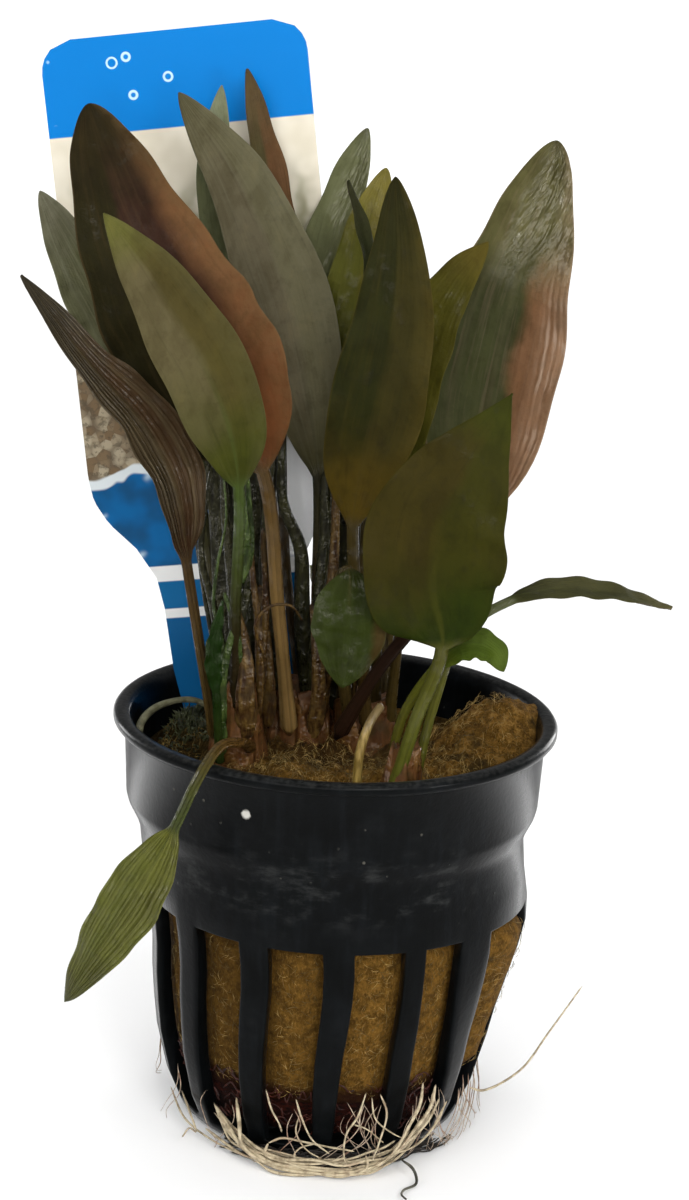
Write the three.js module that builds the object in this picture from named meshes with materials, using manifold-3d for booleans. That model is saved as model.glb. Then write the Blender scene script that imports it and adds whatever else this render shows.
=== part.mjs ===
// A potted water trumpet (Cryptocoryne petchii) as a plant nursery sells it: a rosette of stalked,
// lance-shaped leaves rooted in a plug of mineral wool, in a slotted plastic basket, with a blank
// plastic plant tag pushed in behind the leaves. Millimetres, +Z up. The origin is the centre of
// the basket's flat base, and the side that faces the viewer is -Y.
import * as THREE from "three";
import { mergeVertices } from "three/addons/utils/BufferGeometryUtils.js";
import Module from "manifold-3d";

const wasm = await Module();
wasm.setup();

// Driving dimensions
const rimRadius = 27.5; // the basket's lip, outside
const basketHeight = 52;
const ribCount = 14;
const ribTurn = 2.5; // degrees that the front rib stands to the right of the front
const slotWidthOut = 7; // each opening's width at slotReachOut from the axis
const slotWidthIn = 5.4; // and at slotReachIn
const slotReachOut = 26;
const slotReachIn = 15;
const slotLow = 1.8;
const slotHigh = 29.3;
const woolLow = 7.4;
const woolTop = 46.6;
const gap = 0.3; // clearance between pieces that touch
const bladeThickness = 0.9;
const tagLength = 108;
const tagWidth = 33.2;
const tagThickness = 0.6;

// Materials
function finish(color, roughness) {
  return new THREE.MeshStandardMaterial({ color, roughness, metalness: 0 });
}
const blackPlastic = finish(0x14161a, 0.35);
const mineralWool = finish(0x6b5427, 0.95);
const leafSkin = finish(0x4a4a26, 0.3);
const sheathSkin = finish(0x553a1c, 0.45);
const paleRoot = finish(0xb9ac8c, 0.6);
const darkRoot = finish(0x3a1410, 0.7);
const printedTag = finish(0x0f6fc4, 0.25);

// Solids: a closed geometry becomes a manifold and back again
function solid(geometry) {
  const bare = new THREE.BufferGeometry();
  bare.setAttribute("position", geometry.getAttribute("position"));
  if (geometry.index) bare.setIndex(geometry.index);
  const merged = mergeVertices(bare, 1e-4);
  const vertProperties = merged.attributes.position.array;
  const triVerts = new Uint32Array(merged.index.array);
  return new wasm.Manifold(new wasm.Mesh({ numProp: 3, vertProperties, triVerts }));
}

function geometryOf(manifold) {
  const { vertProperties, triVerts } = manifold.getMesh();
  const geometry = new THREE.BufferGeometry();
  geometry.setAttribute("position", new THREE.BufferAttribute(vertProperties, 3));
  geometry.setIndex(new THREE.BufferAttribute(triVerts, 1));
  return geometry;
}

const plant = new THREE.Group();
function add(name, manifold, material) {
  const mesh = new THREE.Mesh(geometryOf(manifold), material);
  mesh.name = name;
  plant.add(mesh);
}

function largestPiece(manifold) {
  const pieces = manifold.decompose();
  pieces.sort((a, b) => b.volume() - a.volume());
  return pieces[0];
}

// A profile of [radius, height] points turned about +Z
function turned(profile, segments) {
  const points = profile.map(([radius, height]) => new THREE.Vector2(radius, height));
  return new THREE.LatheGeometry(points, segments).rotateX(Math.PI / 2);
}

// A tube of even radius along a smooth line through points
function rope(points, radius, curveSegments, steps) {
  const path = new THREE.CatmullRomCurve3(points.map((point) => new THREE.Vector3(...point)));
  const section = new THREE.Shape();
  section.absellipse(0, 0, radius, radius, 0, 2 * Math.PI);
  const settings = { steps, extrudePath: path, curveSegments, bevelEnabled: false };
  return solid(new THREE.ExtrudeGeometry(section, settings));
}

// The growing roots push the soft basket's belly to the right, and its right ribs out
const bell = (value, middle, spread) => Math.exp(-(((value - middle) / spread) ** 2));
function pushOut(manifold) {
  return manifold.warp((point) => {
    const [x, y, z] = point;
    const turn = THREE.MathUtils.radToDeg(Math.atan2(x, -y));
    const swell = 0.045 * bell(turn, 78, 24) * bell(z, 27, 6);
    point[0] = x * (1 + swell) + 0.9 * bell(z, 25, 9);
    point[1] = y * (1 + swell);
  });
}

// The basket: one moulding with a rolled lip, a stepped collar, ribs and a slotted base
const outerWall = [
  [17.2, 0], [18, 0.8], [19.8, 5], [21.3, 11], [22.6, 19], [23.6, 30], [24, 37.5],
  [25.7, 41.5], [26.1, 50.4], [27.2, 50.5], [rimRadius, 51.2],
];
const innerWall = [
  [26.9, basketHeight], [26.1, basketHeight], [25.4, 51.2], [25, 50], [24.6, 41.9], [22.6, 37.6],
  [21.7, 29], [20.6, 18], [18.6, 8.2], [16.4, 1.8],
];
const basketProfile = [[0, 0], ...outerWall, ...innerWall, [0, 1.8], [0, 0]];

function ribSlot(angle) {
  const outline = new THREE.Shape();
  const grow = (slotWidthOut - slotWidthIn) / (slotReachOut - slotReachIn) / 2;
  const halfAt = (reach) => slotWidthIn / 2 + grow * (reach - slotReachIn);
  outline.moveTo(slotReachIn - 2, -halfAt(slotReachIn - 2));
  outline.lineTo(slotReachOut + 6, -halfAt(slotReachOut + 6));
  outline.lineTo(slotReachOut + 6, halfAt(slotReachOut + 6));
  outline.lineTo(slotReachIn - 2, halfAt(slotReachIn - 2));
  outline.closePath();
  const bar = new THREE.ExtrudeGeometry(outline, { depth: slotHigh - slotLow, bevelEnabled: false });
  return solid(bar.translate(0, 0, slotLow).rotateZ(angle));
}

// A drain slot in the base, from near its solid centre to near its edge
function drainSlot(angle) {
  return solid(new THREE.BoxGeometry(6, 2.4, 4).translate(10.6, 0, 1).rotateZ(angle));
}

let basket = solid(turned(basketProfile, 3 * ribCount));
const frontAngle = THREE.MathUtils.degToRad(ribTurn - 90);
for (let i = 0; i < ribCount; i += 1) {
  const angle = frontAngle + ((i + 0.5) / ribCount) * 2 * Math.PI;
  basket = basket.subtract(ribSlot(angle));
  if (i % 2 === 0) basket = basket.subtract(drainSlot(angle));
}
add("basket_pot", pushOut(basket), blackPlastic);

// The wool plug: its torn top is a plane with mounds and pits over it
const woolMounds = [
  { x: 20, y: 0, spread: 8, rise: 3.6 },
  { x: 9, y: -13, spread: 7, rise: 1.4 },
  { x: -5, y: -14, spread: 7, rise: 2.2 },
  { x: -19, y: -4, spread: 6, rise: -1.6 },
  { x: 11, y: 10, spread: 4, rise: -7 },
  { x: -12, y: -20, spread: 3, rise: -3.5 },
  { x: -4, y: 6, spread: 9, rise: 1.6 },
];
function woolHeight(x, y) {
  const lumps = 0.5 * Math.sin(x * 0.9 + 1) * Math.cos(y * 0.8);
  const mounds = woolMounds.map((m) => m.rise * bell(Math.hypot(x - m.x, y - m.y), 0, m.spread));
  return woolTop + lumps + mounds.reduce((sum, rise) => sum + rise, 0);
}
const woolWall = [
  [17.9, woolLow], [20.1, 18], [21.2, 29], [22, 37.6], [23.9, 42.2], [24.1, woolTop - 0.6],
];
const woolRings = [23.2, 19, 14.5, 10, 5.5, 0].map((radius) => [radius, woolTop]);
const plugGeometry = turned([[0, woolLow], ...woolWall, ...woolRings], 26);
const plugPoints = plugGeometry.getAttribute("position");
for (let i = 0; i < plugPoints.count; i += 1) {
  const top = plugPoints.getZ(i) > woolTop - 0.1;
  if (top) plugPoints.setZ(i, woolHeight(plugPoints.getX(i), plugPoints.getY(i)));
}

// Crowns: the short stumps of sheathed stalk feet that the leaves fan out from, sunk in the wool
const crowns = [
  { name: "crown_left", foot: [-11.8, -4, 44.5], top: [-12.4, -4.6, 57], foots: 4, tops: 2.5 },
  { name: "crown_middle", foot: [-4.6, 3.4, 45], top: [-4.8, 3.4, 54.5], foots: 4.8, tops: 3.4 },
  { name: "crown_right", foot: [3.4, 4.2, 45], top: [3.2, 4.2, 53], foots: 5, tops: 3.8 },
  { name: "crown_front", foot: [7.4, -16.2, 44], top: [8.6, -16, 53.5], foots: 3, tops: 1.7 },
];
function stump({ foot, top, foots, tops }, grow) {
  const axis = new THREE.Vector3(...top).sub(new THREE.Vector3(...foot));
  const height = axis.length();
  const stumpProfile = [
    [0, -grow], [foots + grow, -grow], [foots * 1.06 + grow, height * 0.3],
    [tops * 1.15 + grow, height * 0.72], [tops * 0.72 + grow, height + grow], [0, height + grow],
  ];
  const turn = new THREE.Quaternion().setFromUnitVectors(new THREE.Vector3(0, 0, 1), axis.normalize());
  return solid(turned(stumpProfile, 12).applyQuaternion(turn).translate(...foot));
}

// The tag: a thin card with a wide printed head, narrowing in two curves to a pointed stake
const tagShoulder = 52; // from the stake's tip to where the head is full width
function tagOutline(grow) {
  const half = tagWidth / 2 + grow;
  const top = tagLength + grow;
  const corner = 4;
  const right = new THREE.Path();
  right.moveTo(1.5 + grow, -grow);
  right.lineTo(6 + grow, 12);
  right.lineTo(8.3 + grow, 28);
  right.lineTo(8.6 + grow, 36);
  right.bezierCurveTo(8.9 + grow, 44, half, 43, half, tagShoulder);
  right.lineTo(half, top - corner);
  right.quadraticCurveTo(half, top, half - corner, top);
  const edge = right.getPoints(5);
  const mirrored = edge.map((point) => new THREE.Vector2(-point.x, point.y)).reverse();
  return new THREE.Shape([...edge, ...mirrored]);
}
const tagTip = [-8.9, 10.1, 25.9];
const tagTurn = { side: -8.6, back: -4, about: -6 }; // degrees about Y, X and Z
function tagCard(grow) {
  const depth = tagThickness + 2 * grow;
  const card = new THREE.ExtrudeGeometry(tagOutline(grow), { depth, bevelEnabled: false });
  card.translate(0, 0, -depth / 2).rotateX(Math.PI / 2);
  card.rotateY(THREE.MathUtils.degToRad(tagTurn.side)).rotateX(THREE.MathUtils.degToRad(tagTurn.back));
  card.rotateZ(THREE.MathUtils.degToRad(tagTurn.about)).translate(...tagTip);
  return solid(card);
}
add("plant_tag", tagCard(0), printedTag);

let wool = pushOut(solid(plugGeometry)).subtract(tagCard(gap));
crowns.forEach((crown) => {
  wool = wool.subtract(stump(crown, gap));
});
wool = largestPiece(wool);
add("rockwool_plug", wool, mineralWool);

// What the leaves grow out of: the wool and the crowns, grown by the gap
let ground = wool.translate([0, 0, gap]);
crowns.forEach((crown) => {
  add(crown.name, largestPiece(stump(crown, 0).subtract(ground.subtract(wool))), sheathSkin);
  ground = ground.add(stump(crown, gap));
});

// Leaves: each is one stalk and blade along a midrib. line holds the midrib's points from the crown
// to the tip, neck is the number of the point where the blade starts, face is the way that the
// upper side looks, width is the blade's full width, widest is how far up the blade that is, fold
// is the rise of each half in degrees, and full is below 0.85 for a blade with blunt ends.
const leaves = [
  {
    name: "leaf_tall_left", neck: 2, width: 17.4, widest: 0.38, fold: 16, face: [0.15, -1, 0.1],
    line: [
      [-5.5, 0, 48], [-7.5, -4, 65.5], [-10, -6.5, 83.5], [-14.5, -6.5, 92], [-20, -5, 101],
      [-26, -2, 112], [-32.5, 3, 124.5],
    ],
  },
  {
    name: "leaf_front_left", neck: 2, width: 10, widest: 0.36, fold: 8, face: [0.1, -1, 0.15],
    line: [
      [-12, -5.5, 49], [-12.5, -9, 66], [-12.5, -13, 83], [-14.5, -15.5, 92.5], [-19, -17, 101.5],
      [-24, -17.5, 109], [-28.5, -17, 114.5],
    ],
  },
  {
    name: "leaf_far_left", neck: 2, width: 7.5, widest: 0.4, fold: 30, face: [0.6, -1, 0.6],
    line: [
      [-14.5, -5.5, 49], [-16.5, -8, 61], [-18.5, -10, 73], [-20, -11.5, 82], [-24, -12, 89.5],
      [-30, -12, 96], [-38.5, -10, 106],
    ],
  },
  {
    name: "leaf_behind_left", neck: 2, width: 10, widest: 0.4, fold: 10, face: [0.2, -1, 0.1],
    line: [
      [-13, -0.5, 49], [-15.5, 3, 64], [-18, 4.5, 77], [-22.5, 6, 87.5], [-28, 7, 96],
      [-34, 9, 105], [-39, 11, 113],
    ],
  },
  {
    name: "leaf_tall_middle", neck: 2, width: 10.8, widest: 0.42, fold: 8, face: [0.1, -1, 0.1],
    line: [
      [-2.5, 4, 49], [-3, 3, 65], [-3.5, 2.5, 81], [-5.5, 3, 92], [-9, 5, 104], [-15, 8.5, 116],
      [-22.5, 12, 125.5],
    ],
  },
  {
    name: "leaf_high_brown", neck: 2, width: 6.2, widest: 0.4, fold: 14, face: [0.6, -1, 0.1],
    line: [
      [-4, 6.5, 49], [-5.5, 10.6, 68], [-7, 12, 84], [-8.5, 12.6, 97], [-10, 13.2, 108],
      [-12, 14.5, 118.5], [-14.5, 15, 128.5],
    ],
  },
  {
    name: "leaf_small_tip", neck: 2, width: 6.5, widest: 0.4, fold: 10, face: [0, -1, 0.1],
    line: [
      [-7, 5.5, 49], [-9, 8.5, 66], [-11, 9.5, 82], [-13.5, 10.5, 96], [-16, 11.5, 107.5],
      [-17.8, 12.5, 117.5], [-17.4, 13.5, 126.5],
    ],
  },
  {
    name: "leaf_glossy_middle", neck: 2, width: 8.5, widest: 0.45, fold: 16, face: [-0.45, -1, 0.35],
    line: [
      [0.4, 6, 49], [-1.5, 9, 66], [-3.5, 10, 82], [-4, 10.5, 92.5], [-3.5, 11.5, 102.5],
      [-2, 13.5, 112.5], [0.5, 15.5, 122],
    ],
  },
  {
    name: "leaf_olive_middle", neck: 2, width: 8.5, widest: 0.42, fold: 6, face: [-0.15, -1, 0.2],
    line: [
      [1.2, 3.2, 49], [-0.5, 4, 66], [-1, 4.5, 82], [-1, 5, 91], [0, 6, 100.5], [1, 7.5, 109.5],
      [3, 9, 118],
    ],
  },
  {
    name: "leaf_tall_right", neck: 2, width: 11.2, widest: 0.42, fold: 10, face: [-0.1, -1, 0.05],
    line: [
      [4, 1, 49], [2.5, -3, 63], [1, -5.5, 77], [2, -7, 86], [3.8, -7.5, 96], [4.8, -6.5, 107],
      [4, -3.5, 118.5],
    ],
  },
  {
    name: "leaf_thin_dark", neck: 2, width: 3, widest: 0.5, fold: 30, face: [0.8, -1, 0.1],
    line: [[5, 4, 49], [4.6, 0.6, 70], [4, -1, 88], [3, -0.6, 98.5], [1.5, 1, 107.5], [-1.5, 3.4, 117]],
  },
  {
    name: "leaf_olive_right", neck: 2, width: 7.5, widest: 0.42, fold: 8, face: [-0.3, -1, 0.1],
    line: [
      [6.6, 2.4, 49], [7.4, 0.4, 66], [7, 0, 80], [7, 0, 90.5], [8.5, 0, 99], [11.5, 1, 105.5],
      [15.5, 3, 110.5],
    ],
  },
  {
    name: "leaf_big_right", neck: 3, width: 15.8, widest: 0.34, fold: 18, face: [-0.1, -1, 0.25],
    line: [
      [0, -3, 49], [5, -6, 59.5], [11, -4.5, 68], [15, -1, 78], [16.5, 2, 90.5], [18.5, 5, 102],
      [21, 8, 112], [23.5, 11, 122],
    ],
  },
  {
    name: "leaf_front_right", neck: 2, width: 16.5, widest: 0.42, fold: 8, full: 0.75, face: [0, -1, 0.1],
    line: [
      [7, -17, 47], [9.4, -17.6, 57], [12, -17.5, 66], [10, -18.5, 74], [9.5, -19, 82],
      [12, -18, 89], [16, -15, 95.5],
    ],
  },
  {
    name: "leaf_small_oval", neck: 3, width: 8.8, widest: 0.5, fold: 4, full: 0.6, face: [0, -1, 0.25],
    line: [
      [2, 1.6, 49], [0, -5, 62], [-0.5, -11, 71.5], [0.8, -15.5, 74], [1, -17.5, 70.5],
      [1.1, -18.4, 66.5], [0.6, -18.8, 61],
    ],
  },
  {
    name: "leaf_thin_right", neck: 3, width: 4.6, widest: 0.4, fold: 12, face: [0, -0.35, 1],
    line: [
      [9.4, -15.4, 47], [11.6, -14, 58], [14.4, -11.6, 66], [20, -9, 69.6], [27, -5.5, 70.4],
      [34, -3, 69.4], [40.5, 0, 67.2],
    ],
  },
  {
    name: "leaf_small_curl", neck: 2, width: 4.8, widest: 0.45, fold: 10, face: [-0.2, -0.7, 1],
    line: [
      [6.6, -14.8, 47], [7.8, -14.6, 56], [10.8, -15.4, 62], [13.6, -15.3, 65], [16, -15.6, 66],
      [18.2, -15.8, 65.2], [19.4, -16, 63],
    ],
  },
  {
    name: "leaf_hanging_left", neck: 4, width: 7.4, widest: 0.42, fold: 10, face: [-0.25, -1, 0.4],
    line: [
      [-10, -6, 50.5], [-11.2, -14, 53.6], [-13.4, -21, 54.4], [-15.4, -26, 51.8], [-17.8, -27.4, 46],
      [-20.5, -28, 40.5], [-23.5, -28.3, 35], [-26.8, -28, 29.5], [-30, -27, 23.5],
    ],
  },
  {
    name: "leaf_young_green", neck: 1, width: 2.6, widest: 0.4, fold: 40, face: [0.3, -1, 0],
    line: [[-13.8, -8, 47], [-14.4, -9.4, 56], [-15, -10.2, 62], [-14, -10.6, 68.5]],
  },
  {
    name: "leaf_back_right", neck: 2, width: 11, widest: 0.42, fold: 12, face: [0.3, 1, 0.3],
    line: [[6.8, 6.8, 48], [5.8, 13.4, 63], [8.4, 17.6, 76], [12.5, 20.5, 87], [17, 24, 97], [21, 28, 106]],
  },
  {
    name: "leaf_back_tall", neck: 2, width: 10, widest: 0.42, fold: 10, face: [0, 1, 0.3],
    line: [[4.6, 8.2, 48], [2.4, 15, 63], [2.4, 19.5, 76], [3, 22.5, 87], [4.5, 26, 97], [6, 31, 105]],
  },
  {
    name: "leaf_back_left", neck: 2, width: 10, widest: 0.42, fold: 12, face: [-0.2, 1, 0.3],
    line: [[2.4, 8, 48], [-1.4, 16, 62], [-2.5, 20.5, 73], [-4.5, 24, 82], [-7, 28, 90], [-10, 33, 96.5]],
  },
  {
    name: "leaf_back_low", neck: 2, width: 7.5, widest: 0.42, fold: 12, face: [0, 0.4, 1],
    line: [[2, 11, 46], [1.5, 19, 56], [1, 26, 60.5], [0, 31.5, 61], [-1.5, 37, 59.5], [-3.5, 42.5, 56]],
  },
  {
    name: "leaf_back_side", neck: 2, width: 7.5, widest: 0.42, fold: 14, face: [0.5, 0.6, 1],
    line: [[7, 4.6, 48], [6.6, 9, 62], [9.6, 11.6, 72], [13, 12.6, 77.5], [16, 14, 80.5], [19, 16, 81.5]],
  },
];

const sectionSides = 6;
function leafSolid({ line, neck, width, widest, fold, face, full = 0.85 }) {
  const curve = new THREE.CatmullRomCurve3(line.map((point) => new THREE.Vector3(...point)));
  const neckAt = neck / (line.length - 1);
  const stalkRings = 2 * neck;
  const bladeRings = 9;
  const rings = stalkRings + bladeRings;
  const stalkRadius = 0.5 + width * 0.03;
  const bend = Math.log(0.5) / Math.log(widest);
  const foldRise = Math.tan(THREE.MathUtils.degToRad(fold));
  const up = new THREE.Vector3(...face).normalize();
  const tube = new THREE.CylinderGeometry(1, 1, 1, sectionSides, rings);
  const points = tube.getAttribute("position");
  for (let i = 0; i < points.count; i += 1) {
    const ring = Math.round((points.getY(i) + 0.5) * rings);
    const onBlade = Math.max(0, (ring - stalkRings) / bladeRings);
    const at = onBlade > 0 ? neckAt + (1 - neckAt) * onBlade : (neckAt * ring) / stalkRings;
    const centre = curve.getPoint(at);
    const along = curve.getTangent(at);
    const rise = up.clone().addScaledVector(along, -up.dot(along)).normalize();
    const across = along.clone().cross(rise);
    const swell = Math.sin(Math.PI * Math.min(1, onBlade) ** bend) ** full;
    const taper = Math.max(0.3, 1 - 0.7 * onBlade);
    const halfWidth = Math.max(stalkRadius * taper, (width / 2) * swell);
    const halfThick = onBlade > 0 ? Math.max(0.3, (bladeThickness / 2) * taper ** 0.5) : stalkRadius;
    const x = (halfWidth * points.getX(i)) / Math.cos(Math.PI / 6);
    const z = halfThick * points.getZ(i) + (onBlade > 0 ? Math.abs(x) * foldRise : 0);
    centre.addScaledVector(across, x).addScaledVector(rise, z);
    points.setXYZ(i, centre.x, centre.y, centre.z);
  }
  return solid(tube);
}
leaves.forEach((leaf) => {
  add(leaf.name, largestPiece(leafSolid(leaf).subtract(ground)), leafSkin);
});

const cutStalkLine = [[3, -19.6, 46], [3, -19.3, 53], [4, -18.4, 56.6], [5.4, -16.8, 58.6]];
add("stalk_cut", largestPiece(rope(cutStalkLine, 0.6, 3, 7).subtract(ground)), leafSkin);

// Roots: a dark tangle inside the basket's foot, a pale bundle that comes out of two slots and lies
// round the foot, two single roots, and one that arches over the wool
const tangle = turned([[0, 2.1], [15.4, 2.1], [16.6, 4.6], [17.6, 7.1], [0, 7.1]], 20);
add("root_tangle", pushOut(solid(tangle)), darkRoot);

const bundleLine = [
  [-11.8, -16.4, 4.8], [-10, -18.6, 1.8], [-6, -22, 1.3], [-1, -24, 1.3], [3.6, -24, 1.3],
  [7.6, -21.8, 1.3], [11.2, -18.6, 1.8], [14, -15.6, 5.4],
];
add("root_bundle", rope(bundleLine, 0.95, 3, 16), paleRoot);

const longRootLine = [[19, -7.8, 5.6], [21, -6.6, 4.7], [25.4, -6, 7.4], [28.8, -6, 13], [32.5, -6, 19.4]];
add("root_long", rope(longRootLine, 0.35, 3, 12), paleRoot);

const looseRootLine = [[13, -20.2, 0.5], [11.6, -22.4, 0.5], [10.7, -24.8, 0.5], [11.2, -28.2, 0.5]];
add("root_loose", rope(looseRootLine, 0.35, 3, 8), darkRoot);

const archLine = [[-22.8, -4, 47], [-23, 0, 50.2], [-19.4, 5, 51], [-14.6, 6, 50.6], [-12.4, 5.4, 47]];
add("root_arch", largestPiece(rope(archLine, 0.5, 3, 12).subtract(ground)), paleRoot);

export default plant;
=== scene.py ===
"""A potted water trumpet, an aquarium plant as a nursery sells it: a rosette of stalked leaves
rooted in a plug of mineral wool, in a slotted basket pot, with a plant tag behind the leaves.
Sizes are in millimetres, except for the lights, the camera and the depth of a bump, which are in
metres. Every mesh is turned into metres where it stands.
"""
import math
import random

import bmesh
import bpy
from mathutils import Matrix, Vector, noise


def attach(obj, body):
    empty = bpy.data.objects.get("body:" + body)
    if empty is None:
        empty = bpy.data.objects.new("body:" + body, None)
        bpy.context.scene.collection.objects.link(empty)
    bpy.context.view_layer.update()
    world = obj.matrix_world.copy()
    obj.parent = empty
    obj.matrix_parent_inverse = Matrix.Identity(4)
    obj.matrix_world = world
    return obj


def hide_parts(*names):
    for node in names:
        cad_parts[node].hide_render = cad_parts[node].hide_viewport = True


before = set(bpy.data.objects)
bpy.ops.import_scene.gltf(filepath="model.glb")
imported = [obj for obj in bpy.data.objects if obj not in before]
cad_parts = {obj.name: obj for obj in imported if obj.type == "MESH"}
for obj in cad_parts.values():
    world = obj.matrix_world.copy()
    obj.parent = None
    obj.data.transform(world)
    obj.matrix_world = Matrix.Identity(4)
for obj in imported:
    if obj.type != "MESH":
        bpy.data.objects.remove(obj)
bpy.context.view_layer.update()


# The basket pot: one thin black polypropylene moulding with a rolled lip, a stepped collar and
# upright ribs with open slots between them. It is wet, scuffed by handling and spotted with lime.
MM = 0.001
RIBS = 14
STEPS_PER_RIB = 12
RIB_STEPS = 4  # of those steps, how many a rib takes up; the rest is the slot
FRONT_RIB = math.radians(2.5 - 90)
PITCH = math.tau / RIBS
SLOT_LOW = 1.8
SLOT_HIGH = 29.3
PLAIN_FROM = 33  # over this height the wall is whole
DRAIN_IN = 7.6
DRAIN_OUT = 13.6
OUTER_WALL = [
    (17.2, 0), (18, 0.8), (18.43, 1.8), (19.8, 5), (21.3, 11), (22.6, 19), (23.54, 29.3),
    (23.75, 33), (24, 37.3), (24.5, 38.8), (25.5, 40.8), (25.7, 41.6), (26.1, 50.2), (26.5, 50.5),
    (27.2, 50.6), (27.5, 51), (27.5, 51.5),
]
INNER_WALL = [
    (16.4, 1.8), (17.6, 5), (19.2, 11), (20.7, 19), (21.73, 29.3), (22.6, 37.6), (24.6, 41.9),
    (25, 50), (25.3, 51.2), (25.7, 51.8), (26.3, 52), (26.9, 52), (27.3, 51.8),
]
CHALK_SPOT = (-9.8, -23.9, 46.7)
WALL_LEVELS = [1.8, 3.4, 5, 8, 11, 15, 19, 23, 26.5, 29.3]


def bell(value, middle, spread):
    """1 at the middle, falling away smoothly on both sides."""
    return math.exp(-(((value - middle) / spread) ** 2))


def turn_from_front(x, y):
    """Degrees round the axis from the front, towards the right."""
    return math.degrees(math.atan2(x, -y))


def round_axis(reach, turn, height):
    """The point at a distance from the axis, an angle round it and a height."""
    return Vector((reach * math.cos(turn), reach * math.sin(turn), height))


def push_out(point):
    """Where the growing roots have pushed a point of the soft basket to, in millimetres."""
    turn = turn_from_front(point.x, point.y)
    swell = 0.045 * bell(turn, 78, 24) * bell(point.z, 27, 6)
    lean = 0.9 * bell(point.z, 25, 9)
    pushed = Vector((point.x * (1 + swell) + lean, point.y * (1 + swell), point.z))
    aside = 12 * bell(turn, 86, 18) - 8 * bell(turn, 48, 18)
    aside = math.radians(aside * bell(point.z, 26, 13))
    return Matrix.Rotation(aside, 3, "Z") @ pushed


def reach_at(wall, height):
    """The wall's radius at a height, on the straight between its profile's points."""
    for (low_reach, low), (high_reach, high) in zip(wall, wall[1:]):
        if low <= height <= high and high > low:
            return low_reach + (high_reach - low_reach) * (height - low) / (high - low)
    return wall[-1][0]


def slot_share(x, y):
    """How far round its own rib and slot a point is, in steps: under RIB_STEPS it is on the rib."""
    turn = (math.atan2(y, x) - FRONT_RIB) / PITCH * STEPS_PER_RIB + RIB_STEPS / 2
    return turn % STEPS_PER_RIB


def slot_number(x, y):
    """Which slot a point belongs to, counted round from the front rib."""
    return int(((math.atan2(y, x) - FRONT_RIB) / PITCH) % RIBS)


def taper_rib(point):
    """Turns a wall point about the axis, so that the ribs grow narrower towards the foot."""
    reach = math.hypot(point.x, point.y)
    if reach < 14 or point.z > PLAIN_FROM:
        return point
    half_slot = (STEPS_PER_RIB - RIB_STEPS) / 2
    step = PITCH / STEPS_PER_RIB
    real_half = math.asin((2.7 + 0.073 * (reach - 15)) / reach) / step
    real_half += (half_slot - real_half) * max(0, (point.z - SLOT_HIGH) / (PLAIN_FROM - SLOT_HIGH))
    from_middle = slot_share(point.x, point.y) - RIB_STEPS - half_slot
    if from_middle < -STEPS_PER_RIB / 2:
        from_middle += STEPS_PER_RIB
    if abs(from_middle) <= half_slot:
        moved = from_middle * real_half / half_slot
    else:
        rib = (abs(from_middle) - half_slot) / (STEPS_PER_RIB / 2 - half_slot)
        moved = math.copysign(real_half + rib * (STEPS_PER_RIB / 2 - real_half), from_middle)
    return Matrix.Rotation((moved - from_middle) * step, 3, "Z") @ point


def spun(profile, steps, start=0, merge=0.01):
    """A new bmesh of a profile, radius and height, spun all the way round the axis."""
    bm = bmesh.new()
    turn = Matrix.Rotation(start, 3, "Z")
    points = [bm.verts.new(turn @ Vector((reach, 0, z))) for reach, z in profile]
    wire = [bm.edges.new(pair) for pair in zip(points, points[1:])]
    bmesh.ops.spin(
        bm, geom=points + wire, cent=(0, 0, 0), axis=(0, 0, 1), angle=math.tau, steps=steps,
        use_merge=True,
    )
    bmesh.ops.remove_doubles(bm, verts=bm.verts, dist=merge)
    bmesh.ops.recalc_face_normals(bm, faces=bm.faces)
    return bm


def cut_and_wall(bm, wanted):
    """Takes out the faces that wanted picks, and walls each opening from its outside to its inside."""
    gone = [face for face in bm.faces if wanted(face.calc_center_median())]
    groups = {}
    for face in gone:
        middle = face.calc_center_median()
        groups.setdefault(slot_number(middle.x, middle.y), set()).update(face.edges)
    bmesh.ops.delete(bm, geom=gone, context="FACES")
    rims = []
    for edges in groups.values():
        rim = [edge for edge in edges if edge.is_valid and edge.is_boundary]
        bmesh.ops.bridge_loops(bm, edges=rim)
        rims += rim
    return rims


def made_of(bm, name, finish, smooth=True):
    """Turns a bmesh in millimetres into an object of one finish."""
    bmesh.ops.scale(bm, vec=(MM, MM, MM), verts=bm.verts)
    for face in bm.faces:
        face.smooth = smooth
    mesh = bpy.data.meshes.new(name)
    bm.to_mesh(mesh)
    bm.free()
    mesh.materials.append(finish.material)
    made = bpy.data.objects.new(name, mesh)
    bpy.context.scene.collection.objects.link(made)
    return made


def object_of(bm, name, finish, node=None, smooth=True):
    """Makes the object of a finished piece, riding on the root body."""
    piece = made_of(bm, name, finish, smooth)
    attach(piece, "root")
    if node:
        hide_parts(node)
    return piece


class Wire:
    """An output socket of a finish. Arithmetic written on it adds the Math nodes."""

    def __init__(self, finish, socket):
        self.finish = finish
        self.socket = socket

    def math(self, operation, *others):
        inputs = dict(enumerate((self, *others)))
        return self.finish.node("Math", {"operation": operation}, inputs)

    def __add__(self, other):
        return self.math("ADD", other)

    __radd__ = __add__

    def __sub__(self, other):
        return self.math("SUBTRACT", other)

    def __rsub__(self, other):
        return self.finish.node("Math", {"operation": "SUBTRACT"}, {0: other, 1: self})

    def __mul__(self, other):
        return self.math("MULTIPLY", other)

    __rmul__ = __mul__

    def __truediv__(self, other):
        return self.math("DIVIDE", other)

    def __pow__(self, other):
        return self.math("POWER", other)

    def __abs__(self):
        return self.math("ABSOLUTE")

    def wave(self, kind="COSINE"):
        """A wave of the socket's value, between 0 and 1."""
        return self.math(kind) * 0.5 + 0.5

    def step(self, low, high):
        """0 below low, 1 above high, and smooth between the two."""
        ends = {"Value": self, "From Min": low, "From Max": high}
        return self.finish.node("MapRange", {"interpolation_type": "SMOOTHSTEP"}, ends)


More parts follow.
